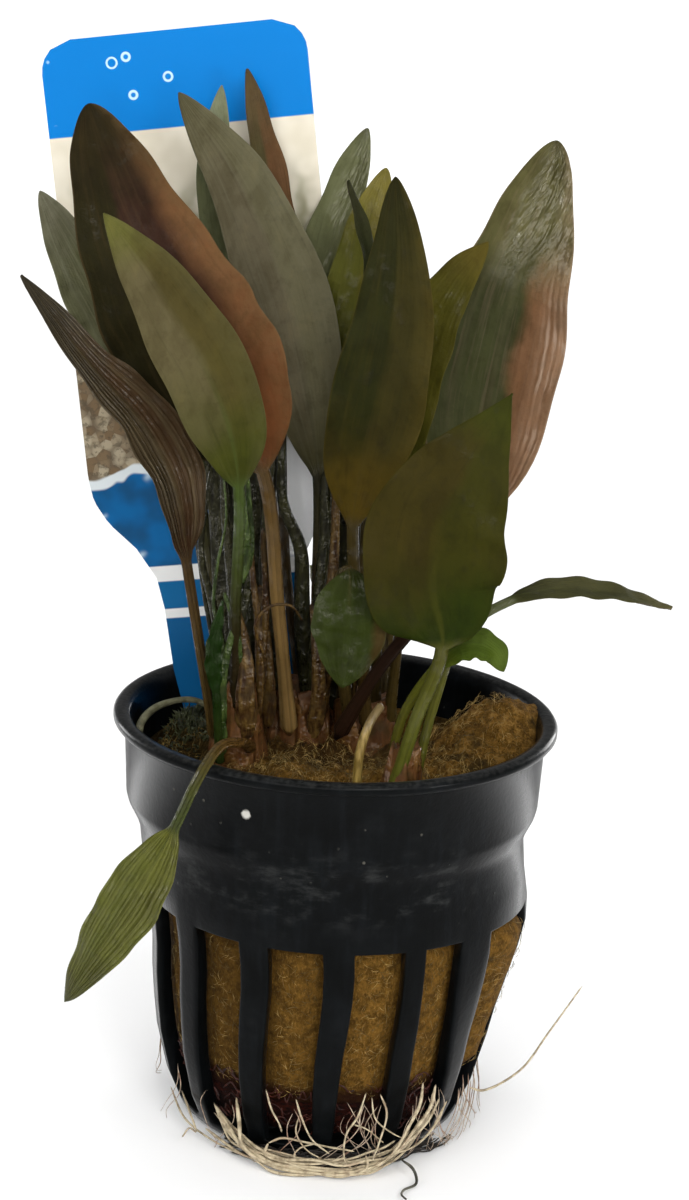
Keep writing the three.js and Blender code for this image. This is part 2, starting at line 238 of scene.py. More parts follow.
class Finish:
    """A material on a Principled shader, with a second one over it where there is a film of water.

    Constants go on the shader's own sockets.
    """

    WATER_IOR = 1.38
    WARM_GLINT = (1, 0.95, 0.84, 1)

    def __init__(self, name, constants):
        self.material = bpy.data.materials.new(name)
        self.material.use_nodes = True
        self.tree = self.material.node_tree
        self.shader = self.tree.nodes["Principled BSDF"]
        for socket, value in constants.items():
            self.shader.inputs[socket].default_value = value

    def node(self, kind, settings=None, values=None, output=0):
        made = self.tree.nodes.new("ShaderNode" + kind)
        for name, value in (settings or {}).items():
            setattr(made, name, value)
        for name, value in (values or {}).items():
            if isinstance(value, Wire):
                self.tree.links.new(value.socket, made.inputs[name])
            else:
                made.inputs[name].default_value = value
        return Wire(self, made.outputs[output])

    def feed(self, wires):
        for socket, wire in wires.items():
            self.tree.links.new(wire.socket, self.shader.inputs[socket])

    def place(self, scale=(1, 1, 1)):
        """Object coordinates in millimetres, stretched by scale."""
        where = self.node("TexCoord", output="Object")
        stretch = tuple(part / MM for part in scale)
        return self.node("VectorMath", {"operation": "MULTIPLY"}, {0: where, 1: stretch})

    def film(self, share, tone, normal, roughness):
        """Lays a film of water over the finish where share is above 0."""
        water = self.tree.nodes.new("ShaderNodeBsdfPrincipled")
        water.inputs["Roughness"].default_value = roughness
        water.inputs["IOR"].default_value = self.WATER_IOR
        water.inputs["Specular Tint"].default_value = self.WARM_GLINT
        both = self.tree.nodes.new("ShaderNodeMixShader")
        self.tree.links.new(tone.socket, water.inputs["Base Color"])
        self.tree.links.new(normal.socket, water.inputs["Normal"])
        self.tree.links.new(share.socket, both.inputs[0])
        self.tree.links.new(self.shader.outputs[0], both.inputs[1])
        self.tree.links.new(water.outputs[0], both.inputs[2])
        self.tree.links.new(both.outputs[0], self.tree.nodes["Material Output"].inputs["Surface"])

    def facing(self):
        """0 where the surface faces the eye, towards 1 at its outline."""
        return self.node("LayerWeight", output="Facing")

    def part(self, where, axis):
        return self.node("SeparateXYZ", {}, {0: where}, axis)

    def away_from(self, where, spot):
        """How far a place is from one spot."""
        return self.node("VectorMath", {"operation": "DISTANCE"}, {0: where, 1: spot}, "Value")

    def cells(self, where, scale, randomness=1.0, output=0):
        values = {"Vector": where, "Scale": scale, "Randomness": randomness}
        return self.node("TexVoronoi", {}, values, output)

    def grain(self, where, scale, detail, rough=0.55):
        values = {"Vector": where, "Scale": scale, "Detail": detail, "Roughness": rough}
        return self.node("TexNoise", {}, values)

    def mix(self, share, first, second, blend="MIX"):
        # of this node's sockets, inputs 6 and 7 and output 2 are the ones for colours
        settings = {"data_type": "RGBA", "blend_type": blend}
        return self.node("Mix", settings, {0: share, 6: first, 7: second}, output=2)

    def bump(self, height, distance, strength):
        """The normal of a surface that is raised by height times distance, which is in metres."""
        values = {"Height": height, "Distance": distance, "Strength": strength}
        return self.node("Bump", {}, values)


def paint(code):
    """A screen colour code as linear red, green, blue and alpha."""
    parts = [int(code[i:i + 2], 16) / 255 for i in (1, 3, 5)]
    linear = [part / 12.92 if part < 0.04045 else ((part + 0.055) / 1.055) ** 2.4 for part in parts]
    return (*linear, 1)


def black_plastic():
    gloss = {"Specular IOR Level": 0.04, "Coat Roughness": 0.12, "Coat IOR": 1.4}
    finish = Finish("black_plastic", gloss)
    where = finish.place()
    height = finish.part(where, "Z")
    clouds = finish.grain(where, 0.16, 4, 0.6)
    fine = finish.grain(where, 1.6, 4, 0.65)
    streaks = finish.grain(finish.place((1, 1, 0.12)), 0.9, 3)
    band = height.step(32, 35.5) * height.step(44, 39)
    smears = finish.grain(finish.place((0.35, 0.35, 0.9)), 0.8, 5, 0.7)
    scuffs = (smears * 0.6 + clouds * 0.55).step(0.57, 0.8) * (band * 0.6 + 0.06)
    lime = finish.cells(where, 0.5).step(0.12, 0.06) * clouds.step(0.52, 0.62) * height.step(30, 36)
    wear = height.step(51.3, 52) * fine.step(0.35, 0.7)
    tone = finish.mix(clouds.step(0.3, 0.7), paint("#040505"), paint("#080a0b"))
    tone = finish.mix(streaks.step(0.45, 0.75) * 0.25, tone, paint("#16191c"))
    tone = finish.mix(scuffs * 0.75, tone, paint("#3c3d3c"))
    tone = finish.mix(wear * 0.4, tone, paint("#3c3c3a"))
    tone = finish.mix(lime * 0.7, tone, paint("#55534c"))
    chalk = finish.away_from(where, CHALK_SPOT)
    tone = finish.mix((chalk + fine * 0.6).step(1.0, 0.65), tone, paint("#b4b2aa"))
    turned_away = finish.facing()
    gleam = turned_away.step(0.45, 0.85) * turned_away.step(0.94, 0.76) * 0.8 + 0.03
    finish.feed({
        "Base Color": tone,
        "Roughness": 0.26 + clouds * 0.16 + scuffs * 0.25 + lime * 0.3,
        "Coat Weight": gleam * (1 - scuffs * 0.6),
        "Normal": finish.bump(fine * 0.4 + clouds + lime * 1.5, 0.00016, 0.6),
    })
    return finish


def basket():
    outer = [(reach, z) for reach, z in OUTER_WALL if z < SLOT_LOW]
    outer += [(reach_at(OUTER_WALL, z), z) for z in WALL_LEVELS]
    outer += [(reach, z) for reach, z in OUTER_WALL if z > SLOT_HIGH]
    inner = [(reach_at(INNER_WALL, z), z) for z in WALL_LEVELS]
    inner += [(reach, z) for reach, z in INNER_WALL if z > SLOT_HIGH]
    base_out = [(0, 0), (DRAIN_IN, 0), (DRAIN_OUT, 0)]
    base_in = [(DRAIN_OUT, SLOT_LOW), (DRAIN_IN, SLOT_LOW), (0, SLOT_LOW)]
    profile = base_out + outer + inner[::-1] + base_in
    bm = spun(profile, RIBS * STEPS_PER_RIB, start=FRONT_RIB)

    def in_slot(middle):
        on_wall = math.hypot(middle.x, middle.y) > 16.5 and SLOT_LOW < middle.z < SLOT_HIGH
        return on_wall and slot_share(middle.x, middle.y) > RIB_STEPS

    def in_drain(middle):
        on_base = DRAIN_IN < math.hypot(middle.x, middle.y) < DRAIN_OUT and middle.z < 2
        near = abs(slot_share(middle.x, middle.y) - RIB_STEPS / 2 - STEPS_PER_RIB / 2) < 3
        return on_base and near and slot_number(middle.x, middle.y) % 2 == 0

    rims = cut_and_wall(bm, in_slot) + cut_and_wall(bm, in_drain)
    bmesh.ops.recalc_face_normals(bm, faces=bm.faces)
    rims = [edge for edge in rims if edge.is_valid]
    bmesh.ops.bevel(
        bm, geom=rims, offset=0.38, offset_type="OFFSET", affect="EDGES", segments=2,
        profile=0.5, material=-1, clamp_overlap=True,
    )
    for vertex in bm.verts:
        vertex.co = push_out(taper_rib(vertex.co))
        wave = noise.noise(vertex.co * 0.05) * 0.12 * min(1, vertex.co.z / 20)
        vertex.co.x += wave
        vertex.co.y += wave * 0.6
    bmesh.ops.recalc_face_normals(bm, faces=bm.faces)
    object_of(bm, "basket", black_plastic(), "basket_pot")


basket()


# The plug of mineral wool that the plant is rooted in: a rolled strip of matted fibres, golden
# brown with silt, pressed into the basket by hand and torn along its top. Loose fibres stand out.
WOOL_TOP = 46.6
WOOL_FOOT = 7.4
WOOL_RIM = 23.4  # how far out loose fibres and moss start on the top
WOOL_WALL = [(17.9, 7.4), (20.1, 18), (21.2, 29), (22, 37.6), (23.9, 42.2), (24.1, 46)]
WOOL_MOUNDS = [  # x, y, spread and rise
    (19.6, 4, 7.2, 7), (9, -12, 6, 2), (-4.5, -14.5, 6, 2.8), (-19, -3, 6, -2.2),
    (13.5, 14, 6, -13), (-11.5, -17, 3, -5), (-4, 6, 9, 1.6), (14, -18.8, 3.4, -3.6),
    (20, -12.6, 3, -3),
]
FIBRES_ON_TOP = 4200
FIBRES_IN_SLOTS = 1800
MOSS_SPOT = (-17.4, 8.6)
MOSS_LEAVES = 900
draw = random.Random(4)


def wool_height(x, y):
    """The top's height before it is torn: a level with lumps, mounds and hollows."""
    lumps = 0.5 * math.sin(x * 0.9 + 1) * math.cos(y * 0.8)
    mounds = sum(rise * bell(math.hypot(x - at_x, y - at_y), 0, spread)
                 for at_x, at_y, spread, rise in WOOL_MOUNDS)
    return WOOL_TOP + lumps + mounds


def tuft(place, size):
    """Height of the matted surface at a place, in lumps of a size and the finer ones on them."""
    return noise.fractal(place / size, 0.7, 2.1, 4)


def wool_reach(x, y, z):
    """The plug's radius: the wool swells into the slots, and on the right out through them."""
    share = (slot_share(x, y) - RIB_STEPS) / (STEPS_PER_RIB - RIB_STEPS)
    swell = math.sin(math.pi * share) ** 0.6 if 0 < share < 1 else 0
    in_slots = min(1, max(0, (SLOT_HIGH - z) / 2)) * min(1, max(0, (z - 7) / 3))
    pressed_out = 0.6 + 2.3 * bell(turn_from_front(x, y), 74, 18)
    return reach_at(WOOL_WALL, z) + pressed_out * swell * in_slots


def wool_surface(x, y):
    """The torn top's height: it drops at its edge, but stands up against the wall on the right."""
    torn = tuft(Vector((x, y, 3)), 3.4) * 1.15 + abs(tuft(Vector((x, y, 9)), 1.3)) * 0.7 - 0.4
    edge = max(0, math.hypot(x, y) - 21)
    against_wall = bell(math.degrees(math.atan2(y, x)), 12, 28)
    return wool_height(x, y) + torn - edge ** 2 * 0.3 * (1 - against_wall)


def mineral_wool():
    finish = Finish("mineral_wool", {"Specular IOR Level": 0.08})
    where = finish.place()
    height = finish.part(where, "Z")
    clouds = finish.grain(where, 0.22, 3)
    lumps = finish.grain(where, 0.8, 5, 0.7)
    threads = finish.grain(finish.place((1, 1, 0.5)), 4.2, 5, 0.75)
    top = height.step(42, 45)
    tone = finish.mix(lumps.step(0.38, 0.64), paint("#543b12"), paint("#7e5b22"))
    tone = finish.mix(threads.step(0.5, 0.7) * 0.5, tone, paint("#ae8644"))
    tone = finish.mix(threads.step(0.46, 0.32) * (0.3 + top * 0.55), tone, paint("#160e04"))
    # painted shade: the wool is darker towards its left side, away from the lights on the right
    tone = finish.mix(finish.part(where, "X").step(6, -14) * 0.5, tone, paint("#3c2807"))
    tone = finish.mix(top * lumps.step(0.52, 0.66) * 0.5, tone, paint("#947440"))
    tone = finish.mix(top * clouds.step(0.5, 0.66) * 0.7, tone, paint("#221e0e"))
    greenish = finish.part(where, "X").step(-8, -16) * top
    tone = finish.mix(greenish * 0.7, tone, paint("#22200f"))
    near_stalks = finish.away_from(where, (2, 2, 47))
    tone = finish.mix((near_stalks + lumps * 8).step(18, 11) * 0.65, tone, paint("#1f140a"))
    tone = finish.mix(height.step(10.5, 8.6) * 0.9, tone, paint("#250c07"))
    finish.feed({
        "Base Color": tone,
        "Roughness": 0.7 + lumps * 0.25,
        "Normal": finish.bump(threads * 0.8 + lumps * 1.4, 0.0008, 1.0),
    })
    return finish


def wool_plug(finish):
    wall = [(reach_at(WOOL_WALL, z), z) for z in [WOOL_FOOT + 0.55 * i for i in range(70)]]
    top = [(23.6 - 0.42 * i, WOOL_TOP) for i in range(55)]
    profile = [(0, WOOL_FOOT), (9, WOOL_FOOT), *wall, *top, (0, WOOL_TOP)]
    bm = spun(profile, 260, merge=0.02)
    for vertex in bm.verts:
        x, y, z = vertex.co
        reach = math.hypot(x, y)
        if z > WOOL_TOP - 0.1:
            vertex.co.z = wool_surface(x, y)
            on_the_right = bell(math.degrees(math.atan2(y, x)), 8, 26)
            vertex.co.xy *= 1 + 0.11 * on_the_right * (reach / 24) ** 4
        elif z > 7.5:
            rough = wool_reach(x, y, z) + tuft(vertex.co, 1.6) * 0.16 - 0.1
            vertex.co = push_out(Vector((x * rough / reach, y * rough / reach, z)))
    bmesh.ops.recalc_face_normals(bm, faces=bm.faces)
    object_of(bm, "wool_plug", finish, "rockwool_plug")


def smooth_line(points, at):
    """The point at a share of a smooth line through points, counted evenly from point to point."""
    last = len(points) - 1
    number = min(int(at * last), last - 1)
    part = at * last - number
    here = points[number]
    there = points[number + 1]
    before = points[number - 1] if number else here * 2 - there
    after = points[number + 2] if number + 2 <= last else there * 2 - here
    first, middle, third = ((b - a).length ** 0.5 for a, b in
                            ((before, here), (here, there), (there, after)))
    leave = (here - before) / first - (there - before) / (first + middle) + (there - here) / middle
    arrive = (there - here) / middle - (after - here) / (middle + third) + (after - there) / third
    leave *= middle
    arrive *= middle
    squared = (there - here) * 3 - leave * 2 - arrive
    cubed = (here - there) * 2 + leave + arrive
    return here + leave * part + squared * part ** 2 + cubed * part ** 3


spun_thread = bpy.data.meshes.new("spun_thread")  # each thread passes through this mesh


def on_tube(vertex):
    """Where a grid's vertex belongs on a tube: its angle round it and its share of the length."""
    return (vertex.co.x + 1) * math.pi, (vertex.co.y + 1) / 2


def strand(bm, points, radius, sides=5, rings=12, taper=0.4, flatness=1.0):
    """A closed thread along a smooth line through points, drawn in to a point at both ends.

    A flatness under 1 presses it flat towards the front and the back.
    """
    thread = bmesh.new()
    bmesh.ops.create_grid(thread, x_segments=sides, y_segments=rings, size=1)
    span = points[-1] - points[0]
    aside = Vector([1 if abs(part) == min(map(abs, span)) else 0 for part in span])
    frames = []
    for ring in range(rings + 1):
        at = ring / rings
        centre = smooth_line(points, at)
        ahead = smooth_line(points, min(1, at + 0.01)) - smooth_line(points, max(0, at - 0.01))
        over = ahead.cross(aside if flatness == 1 else Vector((0, 1, 0))).normalized()
        size = radius * (1 - taper * at) * min(1, 0.4 + 4 * at) if 0 < ring < rings else 0
        frames.append((centre, over * size, over.cross(ahead).normalized() * size * flatness))
    for vertex in thread.verts:
        turn, along = on_tube(vertex)
        centre, over, across = frames[round(along * rings)]
        vertex.co = centre + over * math.cos(turn) + across * math.sin(turn)
    bmesh.ops.remove_doubles(thread, verts=thread.verts, dist=0.0005)
    bmesh.ops.recalc_face_normals(thread, faces=thread.faces)
    thread.to_mesh(spun_thread)
    thread.free()
    bm.from_mesh(spun_thread)


def fibre_finish():
    finish = Finish("wool_fibre", {"Specular IOR Level": 0.15})
    where = finish.place()
    clouds = finish.grain(where, 0.3, 3)
    threads = finish.grain(where, 1.1, 2)
    tone = finish.mix(threads.step(0.35, 0.65), paint("#634e22"), paint("#a68a50"))
    tone = finish.mix(clouds.step(0.46, 0.62) * 0.75, tone, paint("#241d0c"))
    finish.feed({"Base Color": tone, "Roughness": 0.45 + threads * 0.3})
    return finish


def wool_fibres(finish):
    bm = bmesh.new()
    for number in range(FIBRES_ON_TOP + FIBRES_IN_SLOTS):
        heading = draw.uniform(0, math.tau)
        length = draw.uniform(0.6, 2.0)
        bend = draw.uniform(-0.7, 0.7)
        lift = draw.uniform(0.05, 0.8)
        points = []
        if number < FIBRES_ON_TOP:
            reach = WOOL_RIM * math.sqrt(draw.random())
            turn = draw.uniform(0, math.tau)
            x = reach * math.cos(turn)
            y = reach * math.sin(turn)
            for step in range(3):
                along = (step / 2 - 0.5) * length
                way = heading + bend * (step - 1)
                at_x = x + along * math.cos(way)
                at_y = y + along * math.sin(way)
                rise = lift * (step != 0) + draw.uniform(0, 0.3)
                points.append(Vector((at_x, at_y, wool_surface(at_x, at_y) + rise)))
            inside = all(point.xy.length < 24.3 for point in points)
        else:
            turn = FRONT_RIB + PITCH * (draw.randrange(RIBS) + draw.uniform(0.24, 0.76))
            z = draw.uniform(8, 28.5)
            for step in range(3):
                along = (step / 2 - 0.5) * min(2.2, length)
                at_z = z + along * math.sin(heading + bend * (step - 1))
                at_turn = turn + along * math.cos(heading) / 21
                way = Vector((math.cos(at_turn), math.sin(at_turn), 0))
                reach = wool_reach(way.x, way.y, at_z) + 0.12 + lift * 0.4 * (step != 0)
                points.append(push_out(Vector((way.x * reach, way.y * reach, at_z))))
            inside = all(7.6 < point.z < 29 for point in points)
        if inside:
            strand(bm, points, draw.uniform(0.025, 0.045), sides=3, rings=3)
    object_of(bm, "wool_fibres", finish)


def moss_tuft():
    """A little wet, olive-green moss that has grown on the wool at the back left."""
    finish = Finish("moss", {"Specular IOR Level": 0.4})
    where = finish.place()
    clouds = finish.grain(where, 0.5, 3)
    fine = finish.grain(where, 1.6, 3)
    tone = finish.mix(clouds.step(0.38, 0.62), paint("#20240f"), paint("#424628"))
    tone = finish.mix(fine.step(0.55, 0.7) * 0.6, tone, paint("#747a60"))
    finish.feed({"Base Color": tone, "Roughness": 0.2 + fine * 0.35,
                 "Normal": finish.bump(fine + clouds, 0.0005, 0.8)})
    bm = bmesh.new()
    for _ in range(MOSS_LEAVES):
        x = draw.gauss(MOSS_SPOT[0], 2.4)
        y = draw.gauss(MOSS_SPOT[1], 3.2)
        if math.hypot(x, y) > WOOL_RIM:
            continue
        low = wool_surface(x, y) - 0.3
        from_middle = math.hypot(x - MOSS_SPOT[0], y - MOSS_SPOT[1])
        rise = draw.uniform(0.5, 2) * bell(from_middle, 0, 6) + 0.4
        tip = Vector((draw.uniform(-1, 1), draw.uniform(-1, 1), rise))
        foot = Vector((x, y, low))
        points = [foot, foot + tip * 0.6 + Vector((0.2, -0.2, 0.3)), foot + tip]
        strand(bm, points, draw.uniform(0.06, 0.15), sides=4, rings=4, flatness=0.5)
    object_of(bm, "moss_tuft", finish)


wool_plug(mineral_wool())
wool_fibres(fibre_finish())
moss_tuft()


# The leaves: each grew as one piece, a round stalk that flattens into a pointed, narrowly oval
# blade with a midrib and a few veins that run its whole length. They are olive, brown and pink,
# thin, soft and wet, and their feet clasp each other in the crowns.
AROUND = 48
STALK_RINGS = 18
BLADE_RINGS = 56
NECK = STALK_RINGS / (STALK_RINGS + BLADE_RINGS)
TIP_CROWDING = 1.6  # over 1 to set the rings closer together towards the tip
PLAIN_LEAF = {
    "neck": 2,  # the point of the line where the stalk becomes the blade
    "widest": 0.42,  # how far along the blade it is widest
    "full": 0.85,  # how pointed the ends are: lower is blunter
    "tip_full": 0.68,  # the same beyond the widest place
    "split": 0.0,  # how far right of the midrib the right half's colour starts
    "seam_to": 0.4,  # and how far right of that the seam between the two halves fades out
    "edge": 0.12,  # how far the rim's tone reaches in from the margin
    "crinkle": 0.0,
    "ruffle": 0.35,  # how far the margins wave
    "waves": 5,
    "quilt": 0.16,  # how uneven the blade is between its veins
    "vein": 0.12,  # how far the veins stand out in colour
    "pleat": 0.15,  # and in relief
    "wet": 0.5,
    "tip_from": 0.8,  # how far along the blade the tip's tone starts
    "low_to": 0.3,  # and how far the tone of the blade's foot reaches
}
LEAF_TONES = ("left", "right", "seam", "low", "tip", "stalk", "foot", "rim")
HALF_THICK = 0.24  # half of a blade's thickness

# Of each leaf: its greatest width, the degrees that its halves are folded up by, the way that its
# upper side faces, a line from foot to tip, the tones of its parts, and what isn't plain about it.
LEAVES = {
    "leaf_tall_left": dict(
        width=18.4, widest=0.4, fold=16, face=(0.15, -1, 0.1),
        line=[(-5.5, 0, 48), (-7.5, -4, 65.5), (-10, -6.5, 83.5), (-14.8, -6.5, 92),
              (-20.8, -5, 101), (-27, -2, 112), (-32.5, 3, 124.5)],
        left="#1d1a07", right="#5c3e25", seam="#2b1a11", low="#563117", tip="#1f1908",
        stalk="#4e3a1a", foot="#7c6238", rim="#5e4a2e", seam_to=0.8, vein=0.04, wet=0.35,
        tip_full=0.58, edge=0.35, ruffle=0.5, waves=8, low_to=0.6,
    ),
    "leaf_front_left": dict(
        width=10, widest=0.36, fold=8, face=(0.1, -1, 0.15),
        line=[(-12, -5.5, 49), (-12.5, -9, 66), (-12.5, -13, 83), (-14.5, -15.5, 92.5),
              (-19, -17, 101.5), (-24, -17.5, 109), (-28.5, -17, 114.5)],
        left="#4c452d", right="#3d3619", low="#2f3209", tip="#504f24", stalk="#36441a",
        foot="#241d0c", rim="#4c492c", vein=0.15, wet=0.25, tip_full=0.8, low_to=0.5, edge=0.3,
    ),
    "leaf_far_left": dict(
        width=7.5, widest=0.4, fold=30, face=(0.6, -1, 0.6),
        line=[(-14.5, -5.5, 49), (-16.5, -8, 61), (-18.5, -10, 73), (-20, -11.5, 82),
              (-24, -12, 89.5), (-30, -12, 96), (-38.5, -10, 106)],
        left="#302719", right="#342515", low="#29190b", tip="#302b21", stalk="#3e2e18",
        foot="#4a3a1c", rim="#62573f", vein=0.5, pleat=1.2, wet=0.8,
    ),
    "leaf_behind_left": dict(
        width=10, widest=0.4, fold=10, face=(0.2, -1, 0.1),
        line=[(-13, -0.5, 49), (-15.5, 3, 64), (-18, 4.5, 77), (-22.5, 6, 87.5), (-28, 7, 96),
              (-34, 9, 105), (-39, 11, 113)],
        left="#4d4d36", right="#3c3e23", low="#2e3013", tip="#5d5b49", stalk="#30301a",
        foot="#3c341c", rim="#a4a48c", ruffle=0.7, waves=9,
    ),
    "leaf_tall_middle": dict(
        width=10.8, fold=8, face=(0.1, -1, 0.1),
        line=[(-2.5, 4, 49), (-3, 3, 65), (-3.5, 2.5, 81), (-5.5, 3, 92), (-9, 5, 104),
              (-15, 8.5, 116), (-22.5, 12, 125.5)],
        left="#4d4735", right="#504c37", low="#34311b", tip="#4e4a35", stalk="#2c2a18",
        foot="#3a2c14", rim="#6a6856", wet=0.35,
    ),
    "leaf_high_brown": dict(
        width=6.2, widest=0.4, fold=14, face=(0.6, -1, 0.1),
        line=[(-4, 6.5, 49), (-7.2, 10.6, 68), (-8.4, 12, 84), (-8.8, 12.6, 97), (-10, 13.2, 108),
              (-12, 14.5, 118.5), (-14.5, 15, 128.5)],
        left="#3f3a22", right="#543a23", low="#3a301a", tip="#4a3c26", stalk="#342a16",
        foot="#3c2e16", rim="#5a4a30", wet=0.35, tip_full=0.6,
    ),
    "leaf_small_tip": dict(
        width=6.5, widest=0.4, fold=10, face=(0, -1, 0.1),
        line=[(-7, 5.5, 49), (-9, 8.5, 66), (-11, 9.5, 82), (-13.5, 10.5, 96), (-16, 11.5, 107.5),
              (-17.8, 12.5, 117.5), (-17.4, 13.5, 126.5)],
        left="#55583c", right="#4a4c30", low="#34361a", tip="#6c7058", stalk="#2c2c16",
        foot="#3a3018", rim="#70745a", wet=0.4,
    ),
    "leaf_glossy_middle": dict(
        width=8.5, widest=0.45, fold=16, face=(-0.45, -1, 0.35),
        line=[(0.4, 6, 49), (-1.5, 9, 66), (-3.5, 10, 82), (-4, 10.5, 92.5), (-3.5, 11.5, 102.5),
              (-2, 13.5, 112.5), (0.5, 15.5, 122)],
        left="#444a2c", right="#3c4226", low="#2a3214", tip="#54563a", stalk="#282c12",
        foot="#3a3014", rim="#585c42", quilt=0.35, wet=1.0, crinkle=0.8, tip_from=0.45, tip_full=0.6,
    ),
    "leaf_olive_middle": dict(
        width=8.5, fold=6, face=(-0.15, -1, 0.2),
        line=[(1.2, 3.2, 49), (-0.5, 4, 66), (-1, 4.5, 82), (-1, 5, 91), (0, 6, 100.5),
              (1, 7.5, 109.5), (3, 9, 118)],
        left="#424214", right="#494414", low="#2e3608", tip="#625a27", stalk="#2c2e12",
        foot="#403414", rim="#59541f", wet=0.6, tip_full=0.6,
    ),
    "leaf_tall_right": dict(
        width=11.2, fold=10, face=(-0.1, -1, 0.05),
        line=[(4, 1, 49), (2.5, -3, 63), (1, -5.5, 77), (2, -7, 86), (3.8, -7.5, 96),
              (4.8, -6.5, 107), (4, -3.5, 118.5)],
        left="#1d1e06", right="#29250b", low="#423409", tip="#1f1e07", stalk="#3c3214",
        foot="#3c2e14", rim="#483d13", low_to=0.4, wet=0.35, edge=0.35,
    ),
    "leaf_thin_dark": dict(
        width=3, widest=0.5, fold=30, face=(0.8, -1, 0.1),
        line=[(5, 4, 49), (4.6, 0.6, 70), (4, -1, 88), (3, -0.6, 98.5), (1.5, 1, 107.5),
              (-1.5, 3.4, 117)],
        left="#20220f", right="#282a16", low="#24260f", tip="#262614", stalk="#262612",
        foot="#342a12", rim="#34381e",
    ),
    "leaf_olive_right": dict(
        width=7.5, fold=8, face=(-0.3, -1, 0.1),
        line=[(6.6, 2.4, 49), (7.4, 0.4, 66), (7, 0, 80), (7, 0, 90.5), (8.5, 0, 99),
              (11.5, 1, 105.5), (15.5, 3, 110.5)],
        left="#3f3b0e", right="#3b380d", low="#31330b", tip="#463d12", stalk="#322e14",
        foot="#3e3214", rim="#504a17",
    ),
    "leaf_big_right": dict(
        neck=3, width=15.8, widest=0.34, fold=18, face=(-0.1, -1, 0.25),
        line=[(0, -3, 49), (5, -6, 59.5), (11, -4.5, 68), (15, -1, 78), (16.5, 2, 90.5),
              (18.5, 5, 102), (21, 8, 112), (23.5, 11, 122)],
        left="#2e3018", right="#62462f", low="#5e4433", tip="#474426", stalk="#2a1a0e",
        foot="#22130a", rim="#97806a", split=0.25, quilt=0.4, vein=0.05, pleat=0.3, wet=1.0,
        ruffle=0.6, edge=0.22, crinkle=1.0, tip_from=0.6, tip_full=0.58, low_to=0.06,
    ),
    "leaf_front_right": dict(
        width=16.5, widest=0.36, fold=8, full=0.75, tip_full=1.0, face=(0, -1, 0.1),
        line=[(7, -17, 47), (9.4, -17.6, 57), (12, -17.5, 66), (10.4, -18.5, 74), (11, -19, 82),
              (14.4, -18, 89), (18.4, -15.4, 96)],
        left="#2a2406", right="#292805", low="#1a2401", tip="#2b2e05", stalk="#3e3e10",
        foot="#4a4c18", rim="#302d05", vein=0.04, pleat=0.06, wet=0.3, low_to=0.42,
    ),
    "leaf_small_oval": dict(
        neck=3, width=8.8, widest=0.5, fold=4, full=0.6, face=(0, -1, 0.25),
        line=[(2, 1.6, 49), (0, -5, 62), (-0.5, -11, 71.5), (0.8, -15.5, 74), (1, -17.5, 70.5),
              (1.1, -18.4, 66.5), (0.6, -18.8, 61)],
        left="#30250c", right="#1e2505", low="#202505", tip="#202706", stalk="#3a3014",
        foot="#3a2e14", rim="#3f4726", split=-0.78, wet=0.6, ruffle=0.2, quilt=0.3,
    ),
    "leaf_thin_right": dict(
        neck=3, width=4.6, widest=0.4, fold=12, face=(0, -0.35, 1),
        line=[(9.4, -15.4, 47), (11.6, -14, 58), (14.4, -11.6, 66), (20, -9, 69.6),
              (27, -5.5, 70.4), (34, -3, 69.4), (40.5, 0, 67.2)],
        left="#39381e", right="#313117", low="#282910", tip="#454123", stalk="#404622",
        foot="#484816", rim="#4b492d", ruffle=0.15,
    ),
    "leaf_small_curl": dict(
        width=4.8, widest=0.45, fold=10, face=(-0.2, -0.7, 1),
        line=[(6.6, -14.8, 47), (7.8, -14.6, 56), (10.8, -15.4, 62), (13.6, -15.3, 65),
              (16, -15.6, 66), (18.2, -15.8, 65.2), (19.4, -16, 63)],
        left="#394614", right="#323f0c", low="#3b420c", tip="#3d4a17", stalk="#4a4c12",
        foot="#4c4a14", rim="#48531f", ruffle=0.2,
    ),
    "leaf_hanging_left": dict(
        neck=4, width=7.4, fold=10, face=(-0.25, -1, 0.4),
        line=[(-10, -7, 49), (-11.2, -14, 52), (-13.4, -21, 53.6), (-15.4, -26, 51.5),
              (-17.8, -27.4, 46), (-20.5, -28, 40.5), (-23.5, -28.3, 35), (-26.8, -28, 29.5),
              (-30, -27, 23.5)],
        left="#4b4d20", right="#46491e", low="#4d4f1e", tip="#464722", stalk="#3e4620",
        foot="#5a401c", rim="#666738", vein=0.7, pleat=1.2, wet=1.0, quilt=0.25,
    ),
    "leaf_young_green": dict(
        neck=1, width=2.1, widest=0.4, fold=30, face=(0.3, -1, 0),
        line=[(-13.8, -8, 47), (-14.4, -9.4, 56), (-15, -10.2, 62), (-14, -10.6, 68.5)],
        left="#132406", right="#132406", low="#112005", tip="#1a2c0b", stalk="#142607",
        foot="#212e0d", rim="#1d3410", wet=0.9,
    ),
    "leaf_back_right": dict(
        width=11, fold=12, face=(0.3, 1, 0.3),
        line=[(6.8, 6.8, 48), (5.8, 13.4, 63), (8.4, 17.6, 76), (12.5, 20.5, 87), (17, 24, 97),
              (21, 28, 106)],
        left="#40442a", right="#523c30", low="#3e381e", tip="#3e3e28", stalk="#3a341a",
        foot="#46381a", rim="#545034",
    ),
    "leaf_back_tall": dict(
        width=10, fold=10, face=(0, 1, 0.3),
        line=[(4.6, 8.2, 48), (2.4, 15, 63), (2.4, 19.5, 76), (3, 22.5, 87), (4.5, 26, 97),
              (6, 31, 105)],
        left="#403a22", right="#3c4026", low="#343a1a", tip="#464428", stalk="#383018",
        foot="#44381a", rim="#504e30",
    ),
    "leaf_back_left": dict(
        width=10, fold=12, face=(-0.2, 1, 0.3),
        line=[(2.4, 8, 48), (-1.4, 16, 62), (-2.5, 20.5, 73), (-4.5, 24, 82), (-7, 28, 90),
              (-10, 33, 96.5)],
        left="#463626", right="#403e26", low="#3c381c", tip="#404026", stalk="#3a301a",
